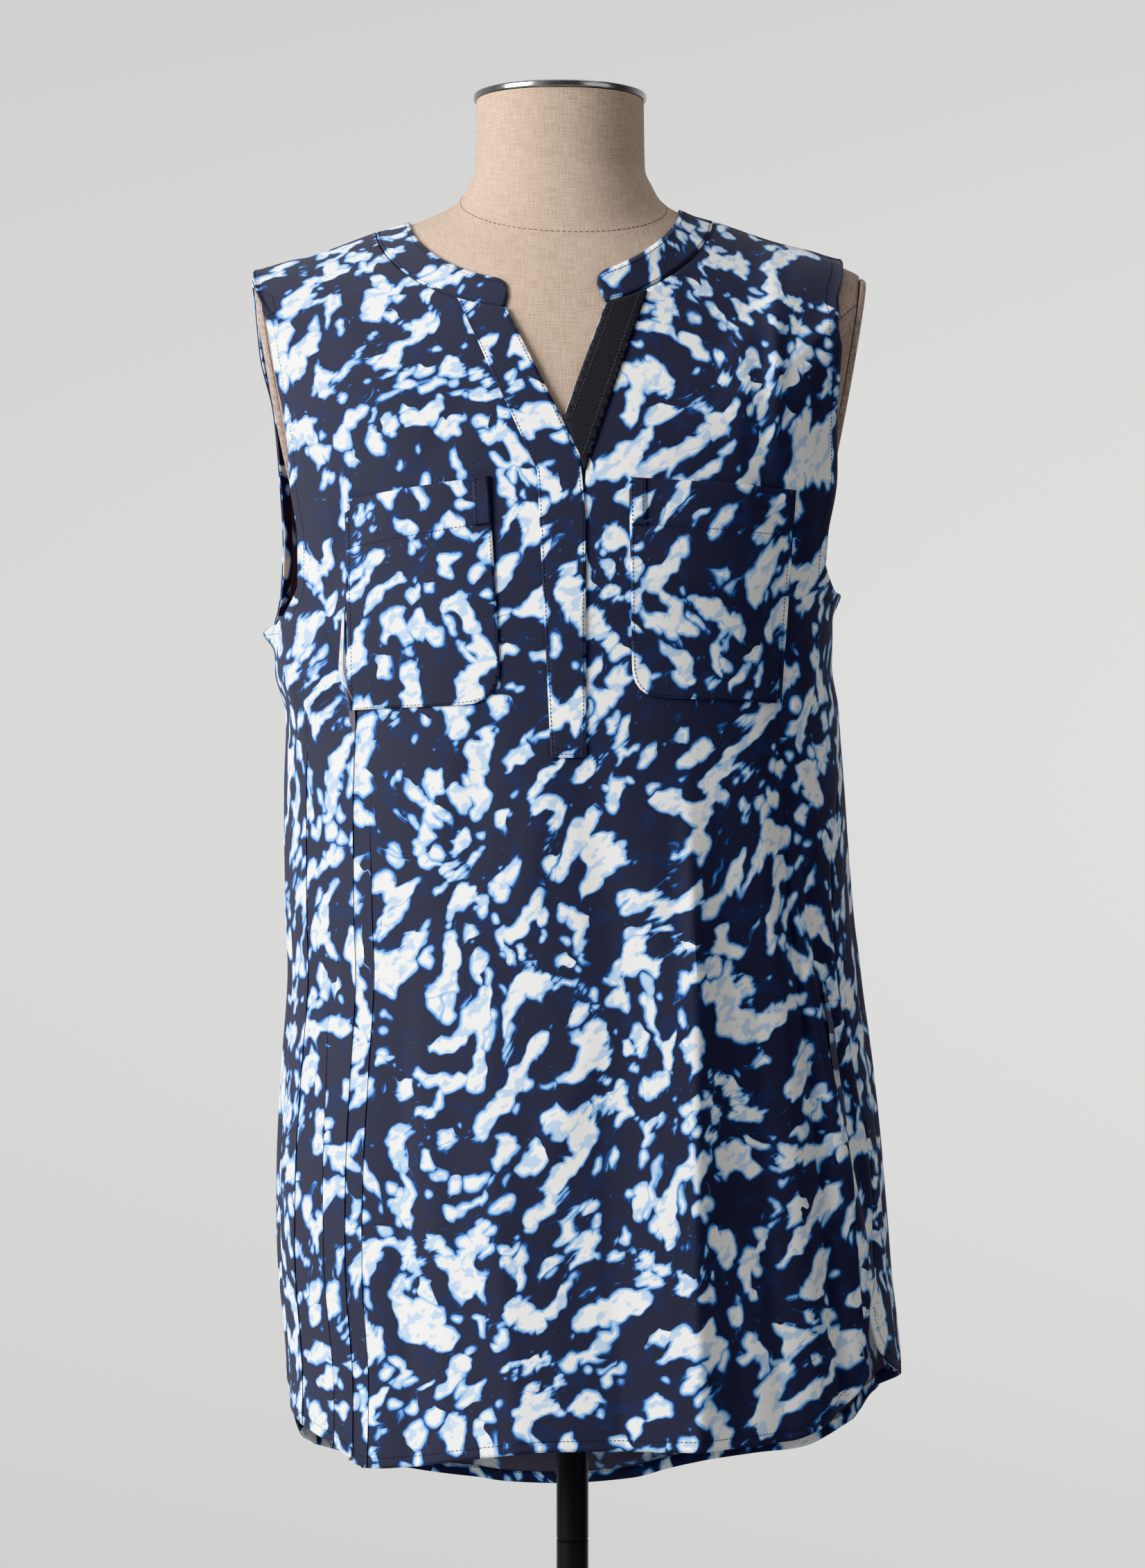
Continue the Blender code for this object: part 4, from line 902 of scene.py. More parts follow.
# Soft creases, as lines seen from the front or the back: side, both ends, width and depth.
CREASE_COLUMNS = ("side", "x1", "z1", "x2", "z2", "width", "depth")
CREASES = (
    ("front", -0.165, 1.150, -0.120, 1.255, 0.0100, -0.0026),
    ("front", -0.178, 1.128, -0.150, 1.085, 0.0080, 0.0030),
    ("front", -0.150, 1.165, -0.142, 1.090, 0.0060, -0.0022),
    ("front", 0.150, 1.170, 0.112, 1.262, 0.0100, -0.0026),
    ("front", 0.160, 1.150, 0.128, 1.080, 0.0080, 0.0028),
    ("front", 0.128, 1.168, 0.132, 1.060, 0.0060, -0.0022),
    ("front", -0.172, 1.365, -0.105, 1.300, 0.0120, 0.0016),
    ("front", 0.148, 1.372, 0.085, 1.305, 0.0120, 0.0016),
    ("front", -0.060, 1.300, -0.095, 1.245, 0.0110, -0.0012),
    ("front", 0.052, 1.300, 0.088, 1.250, 0.0110, -0.0012),
    ("front", -0.052, 1.095, -0.070, 0.980, 0.0120, -0.0018),
    ("front", 0.010, 1.066, 0.026, 0.930, 0.0130, -0.0020),
    ("front", -0.018, 1.066, -0.030, 0.960, 0.0110, 0.0014),
    ("front", -0.159, 1.158, -0.162, 1.096, 0.0045, 0.0022),
    ("front", -0.182, 1.136, -0.168, 1.080, 0.0050, 0.0024),
    ("front", 0.127, 1.392, 0.126, 1.246, 0.0055, 0.0034),
    ("front", 0.080, 1.368, 0.078, 1.262, 0.0090, -0.0022),
    ("front", 0.106, 1.330, 0.104, 1.248, 0.0070, 0.0012),
    ("front", 0.060, 1.030, 0.066, 0.940, 0.0090, -0.0020),
    ("front", 0.012, 0.900, -0.016, 0.820, 0.0120, 0.0014),
    ("front", -0.100, 0.930, -0.086, 0.780, 0.0120, 0.0016),
    ("front", 0.100, 0.860, 0.124, 0.720, 0.0120, -0.0018),
    ("front", -0.010, 0.800, 0.012, 0.690, 0.0150, -0.0014),
    ("front", 0.128, 1.050, 0.157, 0.870, 0.0060, 0.0026),
    ("front", 0.137, 1.060, 0.167, 0.870, 0.0055, -0.0040),
    ("front", 0.157, 0.890, 0.188, 0.735, 0.0050, 0.0024),
    ("front", 0.166, 0.890, 0.197, 0.735, 0.0045, -0.0034),
    ("back", -0.120, 1.330, -0.050, 1.180, 0.0150, -0.0022),
    ("back", 0.115, 1.330, 0.045, 1.170, 0.0150, -0.0022),
    ("back", -0.160, 1.180, -0.100, 1.080, 0.0120, 0.0026),
    ("back", 0.150, 1.190, 0.100, 1.085, 0.0120, 0.0026),
    ("back", -0.055, 1.365, -0.020, 1.290, 0.0120, 0.0012),
    ("back", 0.045, 1.365, 0.018, 1.285, 0.0120, 0.0012),
    ("back", -0.020, 1.120, 0.004, 0.900, 0.0140, -0.0020),
    ("back", 0.070, 1.040, 0.052, 0.800, 0.0140, 0.0018),
    ("back", -0.085, 1.060, -0.070, 0.820, 0.0140, 0.0018),
    ("back", 0.004, 1.405, 0.004, 0.580, 0.0025, 0.0008),
)
print(len(FOLDS), "folds and", len(CREASES), "creases")


# %% Points of the cloth
def fold_middle(fold, z):
    """Angle of a fold's ridge at this height."""
    fall = max(0.0, (fold["top_z"] - z) / (fold["top_z"] - HEM_LOW))
    return fold["top_angle"] + (fold["low_angle"] - fold["top_angle"]) * fall


def fold_shift(angle, z):
    """How far the folds push the cloth out, and slide it towards +angle, at this place."""
    out = slide = 0.0
    for tip_angle, tip_z, depth in TIPS:
        off = ((angle - tip_angle + 180.0) % 360.0 - 180.0) / TIP_ANGLE
        out += depth * math.exp(-off * off - ((z - tip_z) / TIP_HEIGHT) ** 2)
    for fold in FOLDS:
        if z >= fold["top_z"]:
            continue
        off = (angle - fold_middle(fold, z) + 180.0) % 360.0 - 180.0
        left, right = fold["left"], fold["right"]
        grown = smooth_step((fold["top_z"] - z) / (fold["top_z"] - fold["full_z"]))
        ridge_side = off < 0.5 * right if right < PLEAT else off < 0.0
        width = left if ridge_side else right
        rise = PLEAT_RISE if right < PLEAT else 1.0
        out += fold["depth"] * rise * grown * max(0.0, 1.0 - abs(off) / width) ** FOLD_CURVE
        if right < PLEAT and ridge_side:
            slide += PLEAT_SLIDE * grown * min(1.0, max(0.0, 1.0 + off / left)) ** 2
        elif right < PLEAT:
            slide -= PLEAT_SLIDE * grown * max(0.0, 1.0 - (off - right) / PLEAT_SPREAD) ** 2
    return out, slide


def garment_point(level, angle):
    """Outer face of the cloth before it is set on the form."""
    size = garment_sizes(level)
    right = (angle + 360.0) % 360.0 < 180.0
    behind = abs((angle + 180.0) % 360.0 - 180.0) > 90.0
    side_z = size["right_z"] if right else size["left_z"]
    mid = size["mid"] + (size["swing"] if behind else 0.0)
    point = ring_point(level, angle, (mid, 0.0), size["half"], size["front"], size["back"],
                       side_z, size["back_z"])
    across = math.sin(math.radians(angle)) / size["half"]
    along = math.cos(math.radians(angle)) / size["front"]
    outward = Vector((across, -along, 0.0)).normalized()
    out, slide = fold_shift(angle, point.z)
    return point + outward * out + Vector((-outward.y, outward.x, 0.0)) * slide


SEAM_TOP = SEAMS[0][0]
SEAM_STEP = 0.05          # degrees that each panel stops short of the side seam


def front_edges(level):
    """Angles of the front panel's two edges on the ring of this level."""
    if level > SEAM_TOP:
        cut = GARMENT_TRACKS["cut"](level)
        return -cut, cut
    return SEAM_TRACKS["left"](level) + SEAM_STEP, SEAM_TRACKS["right"](level) - SEAM_STEP


def back_edges(level):
    if level > SEAM_TOP:
        cut = GARMENT_TRACKS["back_cut"](level)
        return 180.0 - cut, 180.0 + cut
    return SEAM_TRACKS["right"](level) + SEAM_STEP, 360.0 + SEAM_TRACKS["left"](level) - SEAM_STEP


def front_spot(across, level):
    left, right = front_edges(level)
    return garment_point(level, left + (right - left) * across)


def back_spot(across, level):
    right, left = back_edges(level)
    return garment_point(level, right + (left - right) * across)


def front_hem(across):
    return FRONT_HEM_TRACK(across)


def back_hem(across):
    return BACK_HEM_TRACK(across)


# Levels of the rows, as (share of the way down, level): closer where the shoulder turns over.
ROWS = Track([(0.00, -NECKLINE), (0.12, -1.2880), (0.22, -1.2430), (0.36, -1.1650),
              (0.46, -1.1000), (0.74, -0.8000), (1.00, -HEM_LOW)])
HEM_START = 0.8000        # below this height the rows are drawn up to the curved hem


def hang(level, hem):
    if level >= HEM_START:
        return level
    return HEM_START - (HEM_START - level) * (HEM_START - hem) / (HEM_START - HEM_LOW)


CREASE_START = 0.06       # a crease's depth follows a sine from here, over this span of it,
CREASE_SPAN = 0.88        # so that both ends fade out
CREASE_FADE = 0.7


def crease_shift(bm):
    """Press the soft creases into a sheet, along its own normals."""
    bm.normal_update()
    verts = bm.verts[:]
    spots = np.array([vert.co for vert in verts])
    move = np.zeros(len(verts))
    for row in CREASES:
        crease = dict(zip(CREASE_COLUMNS, row))
        start = np.array((crease["x1"], crease["z1"]))
        line = np.array((crease["x2"], crease["z2"])) - start
        off = spots[:, (0, 2)] - start
        share = np.clip(off @ line / (line @ line), 0.0, 1.0)
        away = np.linalg.norm(off - share[:, None] * line, axis=1)
        fade = np.sin(math.pi * (CREASE_START + CREASE_SPAN * share)) ** CREASE_FADE
        here = spots[:, 1] < 0.0 if crease["side"] == "front" else spots[:, 1] > 0.0
        move += here * crease["depth"] * fade * np.exp(-(away / crease["width"]) ** 2)
    for vert, step in zip(verts, move):
        vert.co += vert.normal * step


REST = 0.0014             # the cloth's outer face over the form, where it rests


def rest_on_form(bm, height):
    """Lift points that would lie in the form or too near to it."""
    for vert in bm.verts:
        near, normal, _, _ = FORM_TREE.find_nearest(vert.co)
        rise = (vert.co - near).dot(normal)
        if rise < height:
            vert.co += normal * (height - rise)


print("armhole angles at the bust", [round(edge, 1) for edge in front_edges(1.2130)])

# %% [markdown]
# ## Front and back panels
# Each panel is one sheet from the neck to the curved shirt tail hem. A grid of some forty thousand
# faces is fine enough for folds a finger wide, and the weave is left to the bump of the finish.
# The front is slit down to the end of the placket: planes cut the sheet along the outline of the
# slit and what lies inside is removed, as scissors would.

# %% Cut sheets along an outline
CLOTH = 0.0009            # thickness that shows at the edges


def inside(x, z, outline):
    """True where (x, z) lies inside the closed outline."""
    hit = False
    for (x0, z0), (x1, z1) in zip(outline, outline[1:] + outline[:1]):
        if (z0 > z) != (z1 > z) and x < x0 + (x1 - x0) * (z - z0) / (z1 - z0):
            hit = not hit
    return hit


def near_box(face, low_x, high_x, low_z, high_z, margin=0.006):
    xs = [vert.co.x for vert in face.verts]
    zs = [vert.co.z for vert in face.verts]
    return (max(xs) > low_x - margin and min(xs) < high_x + margin
            and max(zs) > low_z - margin and min(zs) < high_z + margin)


def cut_sheet(bm, outline, keep):
    """Cut a sheet along a closed (x, z) outline and keep what is 'inside' or 'outside' it."""
    outline = list(outline)
    xs, zs = zip(*outline)
    if keep == "inside":
        far = [face for face in bm.faces if not near_box(face, min(xs), max(xs), min(zs), max(zs))]
        bmesh.ops.delete(bm, geom=far, context="FACES")
    for (x0, z0), (x1, z1) in zip(outline, outline[1:] + outline[:1]):
        along = Vector((x1 - x0, 0.0, z1 - z0)).normalized()
        near = [face for face in bm.faces
                if near_box(face, min(x0, x1), max(x0, x1), min(z0, z1), max(z0, z1))]
        edges = {edge for face in near for edge in face.edges}
        verts = {vert for face in near for vert in face.verts}
        bmesh.ops.bisect_plane(bm, geom=near + list(edges) + list(verts), dist=0.00003,
                               plane_co=(x0, 0.0, z0), plane_no=(along.z, 0.0, -along.x))
    lost = []
    for face in bm.faces:
        middle = face.calc_center_median()
        if inside(middle.x, middle.z, outline) != (keep == "inside"):
            lost.append(face)
    bmesh.ops.delete(bm, geom=lost, context="FACES")


def move_out(bm, distance):
    bm.normal_update()
    steps = {vert: vert.normal * distance for vert in bm.verts}
    for vert, step in steps.items():
        vert.co += step


FRONT_COLUMNS = 170
FRONT_ROWS = 240
BACK_COLUMNS = 150
BACK_ROWS = 230


# Columns of the front that keep to a fold all the way down, with the angle each has in the
# rows of the armholes, where there is no fold yet.
FOLD_PINS = ((28, -57.0, 2), (41, -50.5, 3), (50, -44.0, 0), (57, -39.5, 1), (121, 21.0, 8),
             (152, 45.0, 10), (160, 51.0, 11))
CENTRE_COLUMN = 101
BESIDE_PLEAT = 0.35       # degrees to the next column on either side of a pleat


@functools.lru_cache(maxsize=None)
def front_pins(level):
    """Columns and angles between which the other columns are spread evenly."""
    left, right = front_edges(level)
    pins = [(0, left), (CENTRE_COLUMN, 0.0), (FRONT_COLUMNS, right)]
    for column, rest_angle, index in FOLD_PINS:
        fold = FOLDS[index]
        drawn = smooth_step((fold["top_z"] + 0.05 - level) / 0.05)
        ridge = rest_angle + (fold_middle(fold, level) - rest_angle) * drawn
        pins.append((column, ridge))
        if fold["right"] < PLEAT:
            pins += [(column - 1, ridge - BESIDE_PLEAT), (column + 1, ridge + fold["right"]),
                     (column + 2, ridge + fold["right"] + BESIDE_PLEAT)]
    return list(zip(*sorted(pins)))


def front_angle(across, level):
    columns, angles = front_pins(level)
    return float(np.interp(across * FRONT_COLUMNS, columns, angles))


def front_place(across, down):
    row_level = level = round(-ROWS(down), 5)
    for _ in range(2 if row_level < HEM_START else 0):
        left, right = front_edges(level)
        share = (front_angle(across, level) - left) / (right - left)
        level = round(hang(row_level, front_hem(share)), 4)
    return garment_point(level, front_angle(across, level))


def back_place(across, down):
    level = round(hang(-ROWS(down), back_hem(across)), 5)
    return back_spot(across, level)


def flattened(bm):
    """Map a sheet with little stretch, in metres, upright and from the middle of its top."""
    mesh = bpy.data.meshes.new("pattern")
    bm.to_mesh(mesh)
    pattern = bpy.data.objects.new("pattern", mesh)
    bpy.context.scene.collection.objects.link(pattern)
    bpy.context.view_layer.objects.active = pattern
    bpy.ops.object.mode_set(mode="EDIT")
    bpy.ops.mesh.select_all(action="SELECT")
    bpy.ops.uv.unwrap(method="MINIMUM_STRETCH", iterations=4, margin=0.0)
    bpy.ops.object.mode_set(mode="OBJECT")
    before = bm.loops.layers.uv["cloth"]
    old = np.array([loop[before].uv for face in bm.faces for loop in face.loops])
    new = np.empty(2 * len(mesh.loops))
    mesh.uv_layers["cloth"].data.foreach_get("uv", new)
    bpy.data.objects.remove(pattern, do_unlink=True)
    old, new = old - old.mean(axis=0), new.reshape(-1, 2)
    new -= new.mean(axis=0)
    across, up = (np.linalg.lstsq(new, old[:, k], rcond=None)[0] for k in (0, 1))
    turn = np.arctan2(across[1] - up[0], across[0] + up[1])
    frame_2d = np.array(((np.cos(turn), -np.sin(turn)), (np.sin(turn), np.cos(turn))))
    new = new @ frame_2d
    area = sum(face.calc_area() for face in bm.faces)
    flat = 0.0
    row = 0
    for face in bm.faces:
        ring = new[row:row + len(face.loops)]
        row += len(face.loops)
        flat += 0.5 * abs(np.sum(ring[:, 0] * np.roll(ring[:, 1], -1)
                                 - ring[:, 1] * np.roll(ring[:, 0], -1)))
    new *= math.sqrt(area / flat)
    new[:, 1] -= new[:, 1].max()
    row = 0
    for face in bm.faces:
        for loop in face.loops:
            loop[before].uv = new[row]
            row += 1
    print("flattened", len(bm.faces), "faces")


front_sheet = sheet_grid(FRONT_COLUMNS, FRONT_ROWS, front_place)
face_away(front_sheet, Vector((0.0, 0.06, 0.0)))
crease_shift(front_sheet)
rest_on_form(front_sheet, REST)
flattened(front_sheet)
front_sheet.normal_update()
FRONT_TREE = BVHTree.FromBMesh(front_sheet)

# %% The slit, and the front and back panels
FAR_UP = 1.45
SLIT_LEFT = ((-0.0690, 1.3700), (-0.0157, 1.2472), (-0.0072, 1.0780))
SLIT_RIGHT = ((0.0472, 1.3660), (0.0092, 1.2570), (0.0070, 1.2350), (0.0070, 1.0780))


def between(left, right):
    """Closed outline between two edges that both run downwards."""
    return list(left) + list(reversed(right))


SLIT = between(((SLIT_LEFT[0][0] - 0.03, FAR_UP),) + SLIT_LEFT,
               ((SLIT_RIGHT[0][0] + 0.03, FAR_UP),) + SLIT_RIGHT)


def sheet_facts(bm):
    """The smallest rectangle that a sheet's flat cut fits in, and the sheet's area."""
    layer = bm.loops.layers.uv["cloth"]
    spots = np.array([loop[layer].uv for face in bm.faces for loop in face.loops])
    sizes = []
    for degrees in range(0, 90, 2):
        turn = math.radians(degrees)
        sizes.append([np.ptp(spots @ (math.cos(turn), math.sin(turn))),
                      np.ptp(spots @ (-math.sin(turn), math.cos(turn)))])
    width, length = sorted(min(sizes, key=lambda size: size[0] * size[1]))
    return float(width), float(length), sum(face.calc_area() for face in bm.faces)


# of its rectangle: the frame refuses an area under 0.30 of it
LEAST_SHARE = 0.31        # of its rectangle: the least area that a sheet is stated to have


def declare_sheet(piece, facts):
    """Print a sheet's flat cut.

    A strip that bends in its own plane fills less of its rectangle than the frame takes, so its
    stated area is raised to LEAST_SHARE and is then larger than the cloth's own, printed first.
    """
    width, length, measured = facts
    area = min(max(measured, LEAST_SHARE * width * length), width * length)
    print(piece.name, "cut", round(width, 3), "by", round(length, 3), "m, area",
          round(measured, 5), "stated as", round(area, 5))


front = front_sheet.copy()
cut_sheet(front, SLIT, "outside")
front_facts = sheet_facts(front)
front_cloth = add_piece(front, "tunic_front", [print_finish("print_front", (0.0, 0.0)),
                                               PRINT_INSIDE], ["front"])
thicken(front_cloth, CLOTH, -1.0, 1)

back_sheet = sheet_grid(BACK_COLUMNS, BACK_ROWS, back_place)
face_away(back_sheet, Vector((0.0, -0.06, 0.0)))
crease_shift(back_sheet)
rest_on_form(back_sheet, REST)
flattened(back_sheet)
back_sheet.normal_update()
BACK_TREE = BVHTree.FromBMesh(back_sheet)
back_facts = sheet_facts(back_sheet)
back_cloth = add_piece(back_sheet, "tunic_back", [print_finish("print_back", (1.37, 0.55)),
                                                  PRINT_INSIDE], ["back"])
thicken(back_cloth, CLOTH, -1.0, 1)

# %% [markdown]
# ## Turned hems
# A shirt tail hem is turned up twice and stitched, so the inside of the tail shows a narrow strip
# of the right side again. The strip is a sheet of its own that follows the hem a little inside the
# cloth. Where the hem climbs to the side seam, the strip's height is measured square to the hem
# and not straight up, or it would look pinched there. The armholes are turned in the same way, and
# their strips keep a set distance from an edge that bends in space.

# %% Follow the hem at a set distance
HEM_WIDTH = 0.0075
HEM_RUN = 0.50            # length of the hem of one panel
TURNED_GAP = 0.0002       # between the cloth and its turned edge
TURNED_CLOTH = 0.0005     # thickness of a turned edge, pressed flat
HEM_REACH = 0.008         # share of the panel's width that the hem's slope is taken over
HEM_STEEPEST = 3.0
HEM_COLUMNS = 160


def on_cloth(tree, point, out):
    """The nearest place on a sheet, moved out from it."""
    near, normal, _, _ = tree.find_nearest(point)
    return near + normal * out


def hem_spot(spot, hem, across, distance):
    """A point of the panel that lies this far from its hem."""
    low, high = max(0.0, across - HEM_REACH), min(1.0, across + HEM_REACH)
    slope = min(HEM_STEEPEST, abs(hem(high) - hem(low)) / ((high - low) * HEM_RUN))
    return spot(across, hem(across) + distance * math.hypot(1.0, slope))


def add_turned(strip, name, finish):
    """Store a strip of turned cloth, its right side towards the body."""
    face_away(strip, Vector((0.0, 0.0, 0.0)))
    bmesh.ops.reverse_faces(strip, faces=strip.faces[:])
    piece = add_piece(strip, name, [finish])
    thicken(piece, TURNED_CLOTH, 1.0)
    return piece


def add_hem(name, spot, hem, tree, finish):
    def place(across, down):
        return on_cloth(tree, hem_spot(spot, hem, across, HEM_WIDTH * (1.0 - down)),
                        -(CLOTH + TURNED_GAP))
    return add_turned(sheet_grid(HEM_COLUMNS, 3, place), name, finish)


FRONT_PRINT = front_cloth.data.materials[0]
BACK_PRINT = back_cloth.data.materials[0]
front_turned = add_hem("front_hem_turned", front_spot, front_hem, FRONT_TREE, FRONT_PRINT)
back_turned = add_hem("back_hem_turned", back_spot, back_hem, BACK_TREE, BACK_PRINT)

# %% Follow the armholes and turn their edges in
ARMHOLE_WIDTH = 0.0090
ARMHOLE_STEPS = 90
ARMHOLE_LEVELS = [1.2876 - 0.1224 * k / ARMHOLE_STEPS for k in range(ARMHOLE_STEPS + 1)]


def armhole_line(spot, far_side, tree, distance, out):
    """A line on a panel that keeps this distance from its armhole edge."""
    edge = [spot(1.0 if far_side else 0.0, level) for level in ARMHOLE_LEVELS]
    inner = spot(0.97 if far_side else 0.03, ARMHOLE_LEVELS[len(edge) // 2])
    turn = 0.0
    line = []
    for k in [len(edge) // 2] + list(range(len(edge))):
        along = edge[min(len(edge) - 1, k + 2)] - edge[max(0, k - 2)]
        near, normal, _, _ = tree.find_nearest(edge[k])
        inward = normal.cross(along).normalized()
        if turn == 0.0:
            turn = math.copysign(1.0, inward.dot(inner - edge[k]))
            continue
        line.append(on_cloth(tree, near + inward * turn * distance, out))
    return line


def turn_armhole(name, spot, far_side, tree, finish):
    lines = [armhole_line(spot, far_side, tree, ARMHOLE_WIDTH * k / 3, -(CLOTH + TURNED_GAP))
             for k in range(4)]
    strip = sheet_grid(ARMHOLE_STEPS, 3, lambda across, down: lines[round(3 * down)][
        round(ARMHOLE_STEPS * across)])
    return add_turned(strip, name, finish)


front_strips = [turn_armhole("front_armhole_left", front_spot, False, FRONT_TREE, FRONT_PRINT),
                turn_armhole("front_armhole_right", front_spot, True, FRONT_TREE, FRONT_PRINT)]
back_strips = [turn_armhole("back_armhole_right", back_spot, False, BACK_TREE, BACK_PRINT),
               turn_armhole("back_armhole_left", back_spot, True, BACK_TREE, BACK_PRINT)]
declare_sheet(front_cloth, front_facts)
declare_sheet(back_cloth, back_facts)

# %% [markdown]
# ## The collar band
# The neck is finished with a low standing band of doubled cloth. It starts and ends in a curve at
# the V and leans with the neck of the form. The band is a ring sheet between the neckline and a
# slightly higher and narrower ring. Its free height shrinks over the last two centimetres, which
# draws the curve of its ends.

# %% Make the band
BAND_WALL = 0.0016
BAND_REST = 0.0020
BAND_CORNER = 0.0120
BAND_END_LEFT = 0.45      # share of its height that is left at the ends
BAND_END_RIGHT = 0.66
BAND_SEAM = 0.03
NECK_SPREAD = 0.1050
COLLAR_LEFT_X = -0.0425
COLLAR_RIGHT_X = 0.0205


def neckline_angle(x):
    off = (x - GARMENT_TRACKS["mid"](NECKLINE)) / GARMENT_TRACKS["half"](NECKLINE)
    return math.degrees(math.asin(powered(off, SQUARE / 2.0)))


BAND_START = neckline_angle(COLLAR_RIGHT_X)
BAND_STOP = 360.0 + neckline_angle(COLLAR_LEFT_X)


def band_share(across):
    """How much of its full height the band has here."""
    length = math.radians(BAND_STOP - BAND_START) * NECK_SPREAD
    rounded = min(1.0, min(across, 1.0 - across) * length / BAND_CORNER)
    curve = math.sqrt(max(0.0, 1.0 - (1.0 - rounded) ** 2))
    least = BAND_END_RIGHT if across < 0.5 else BAND_END_LEFT
    return least + (1.0 - least) * curve


def band_place(across, down):
    angle = BAND_START + (BAND_STOP - BAND_START) * across
    share = BAND_SEAM + (band_share(across) - BAND_SEAM) * (1.0 - down)
    return garment_point(NECKLINE + (BAND_TOP - NECKLINE) * share, angle)


band = sheet_grid(260, 8, band_place)
face_away(band, Vector((FORM_X, 0.0, 0.0)))
rest_on_form(band, BAND_REST)
flattened(band)
band.normal_update()
BAND_TREE = BVHTree.FromBMesh(band)
band_facts = sheet_facts(band)
collar_band = add_piece(band, "tunic_collar_band", [print_finish("print_band", (0.62, 0.21), 8.0)],
                        ["collar_band"])
thicken(collar_band, BAND_WALL, -1.0)
declare_sheet(collar_band, band_facts)

# %% [markdown]
# ## Pieces that lie on the front
# Plackets, ribbon and pockets are flat pieces sewn on, so they follow every bend of the front. The
# simplest honest way is to cut them from a copy of the front sheet and move them out by their own
# thickness. Round corners are drawn into the outline first. The print on each of them is shifted,
# because each was cut from another part of the cloth.

# %% Outlines and a helper that lays a piece on the front
PLACKET_SEAM = ((-0.0720, 1.3585), (-0.0217, 1.2472), (-0.0132, 1.0710))
PLACKET_FOLD = ((-0.0445, 1.3570), (0.0047, 1.2570), (0.0080, 1.2200), (0.0085, 1.0710))
OPENING_RIGHT = ((0.0237, 1.3620), (-0.0055, 1.2808), (-0.0062, 1.2500), (-0.0062, 1.0790))
TAPE_LEFT = ((0.0240, 1.3620), (-0.0053, 1.2805), (-0.0050, 1.2780), (0.0050, 1.2570),
             (0.0066, 1.2480))
TAPE_RIGHT = ((0.0466, 1.3620), (0.0110, 1.2570), (0.0080, 1.2480))
LAID = 0.0011             # thickness of a doubled, pressed piece


def rounded(corners, steps=6):
    """An outline through (x, z, radius) corners, with an arc at each that has a radius."""
    line = []
    for (x0, z0, _), (x1, z1, radius), (x2, z2, _) in zip(
            corners[-1:] + corners[:-1], corners, corners[1:] + corners[:1]):
        corner = Vector((x1, z1))
        if radius == 0.0:
            line.append((x1, z1))
            continue
        back = (Vector((x0, z0)) - corner).normalized()
        ahead = (Vector((x2, z2)) - corner).normalized()
        reach = radius / math.tan(0.5 * back.angle(ahead))
        for k in range(steps + 1):
            t = k / steps
            first, last = corner + back * reach, corner + ahead * reach
            spot = first * (1 - t) ** 2 + corner * 2 * t * (1 - t) + last * t ** 2
            line.append((spot.x, spot.y))
    return line


def lay_piece(name, finish, nodes, outline, lift, wall, puff=None):
    """Cut a piece from the front sheet and lay it on. Returns it, its outer face and its cut."""
    bm = front_sheet.copy()
    cut_sheet(bm, outline, "inside")
    move_out(bm, lift + wall)
    if puff:
        bm.normal_update()
        steps = {vert: vert.normal * puff(vert.co.x, vert.co.z) for vert in bm.verts}
        for vert, step in steps.items():
            vert.co += step
    bm.normal_update()
    tree = BVHTree.FromBMesh(bm)
    facts = sheet_facts(bm)
    piece = add_piece(bm, name, [finish], nodes)
    thicken(piece, wall, -1.0)
    return piece, tree, facts


# %% Plackets and ribbon
under_edge = [(x - GAP, z) for x, z in SLIT_RIGHT]
under_edge[-1] = (under_edge[-1][0], OPENING_RIGHT[-1][1])
placket_under, _, under_facts = lay_piece(
    "tunic_placket_under", print_finish("print_under", (0.93, 0.40)),
    ["placket_under"], between(OPENING_RIGHT, under_edge), -CLOTH, CLOTH)
placket_over, OVER_TREE, over_facts = lay_piece(
    "tunic_placket_over", print_finish("print_over", (0.47, 0.83)),
    ["placket_over"], between(PLACKET_SEAM, PLACKET_FOLD), GAP, LAID)
ribbon, RIBBON_TREE, ribbon_facts = lay_piece(
    "tunic_neck_ribbon", RIBBON, ["neck_tape"], between(TAPE_LEFT, TAPE_RIGHT), GAP,
    0.0008)
for piece, facts in ((placket_under, under_facts), (placket_over, over_facts),
                     (ribbon, ribbon_facts)):
    declare_sheet(piece, facts)

# %% [markdown]
# ## Chest pockets
# Each pocket is a patch with a hemmed mouth, a rounded inner corner and a short folded tab where
# the mouth meets its inner edge. A pocket that is sewn down on three sides stands off a little at
# its mouth, so the patch swells by a millimetre or so there. That small swell casts the thin
# shadow that tells a pocket from a drawn line.

# %% Pockets and their tabs
POCKETS = {
    "left": [(-0.1415, 1.2320, 0.0), (-0.0512, 1.2442, 0.0), (-0.0432, 1.1043, 0.024),
             (-0.1384, 1.1010, 0.0)],
    "right": [(0.1389, 1.2385, 0.0), (0.1300, 1.1053, 0.0), (0.0368, 1.1085, 0.020),
              (0.0346, 1.2434, 0.0)],
}
TABS = {
    "left": [(-0.0613, 1.2428), (-0.0514, 1.2441), (-0.0502, 1.2150), (-0.0600, 1.2137)],
    "right": [(0.0348, 1.2432), (0.0445, 1.2428), (0.0450, 1.2140), (0.0358, 1.2143)],
}
POCKET_SHIFT = {"left": (0.18, 1.21), "right": (1.02, 0.07)}
POCKET_TREES = {}
TAB_TREES = {}
MOUTH_SWELL = 0.0013      # how far a pocket's mouth stands off
MOUTH_CURVE = 1.5         # power of the swell's rise from the pocket's foot
TAB_CLOTH = 0.0007


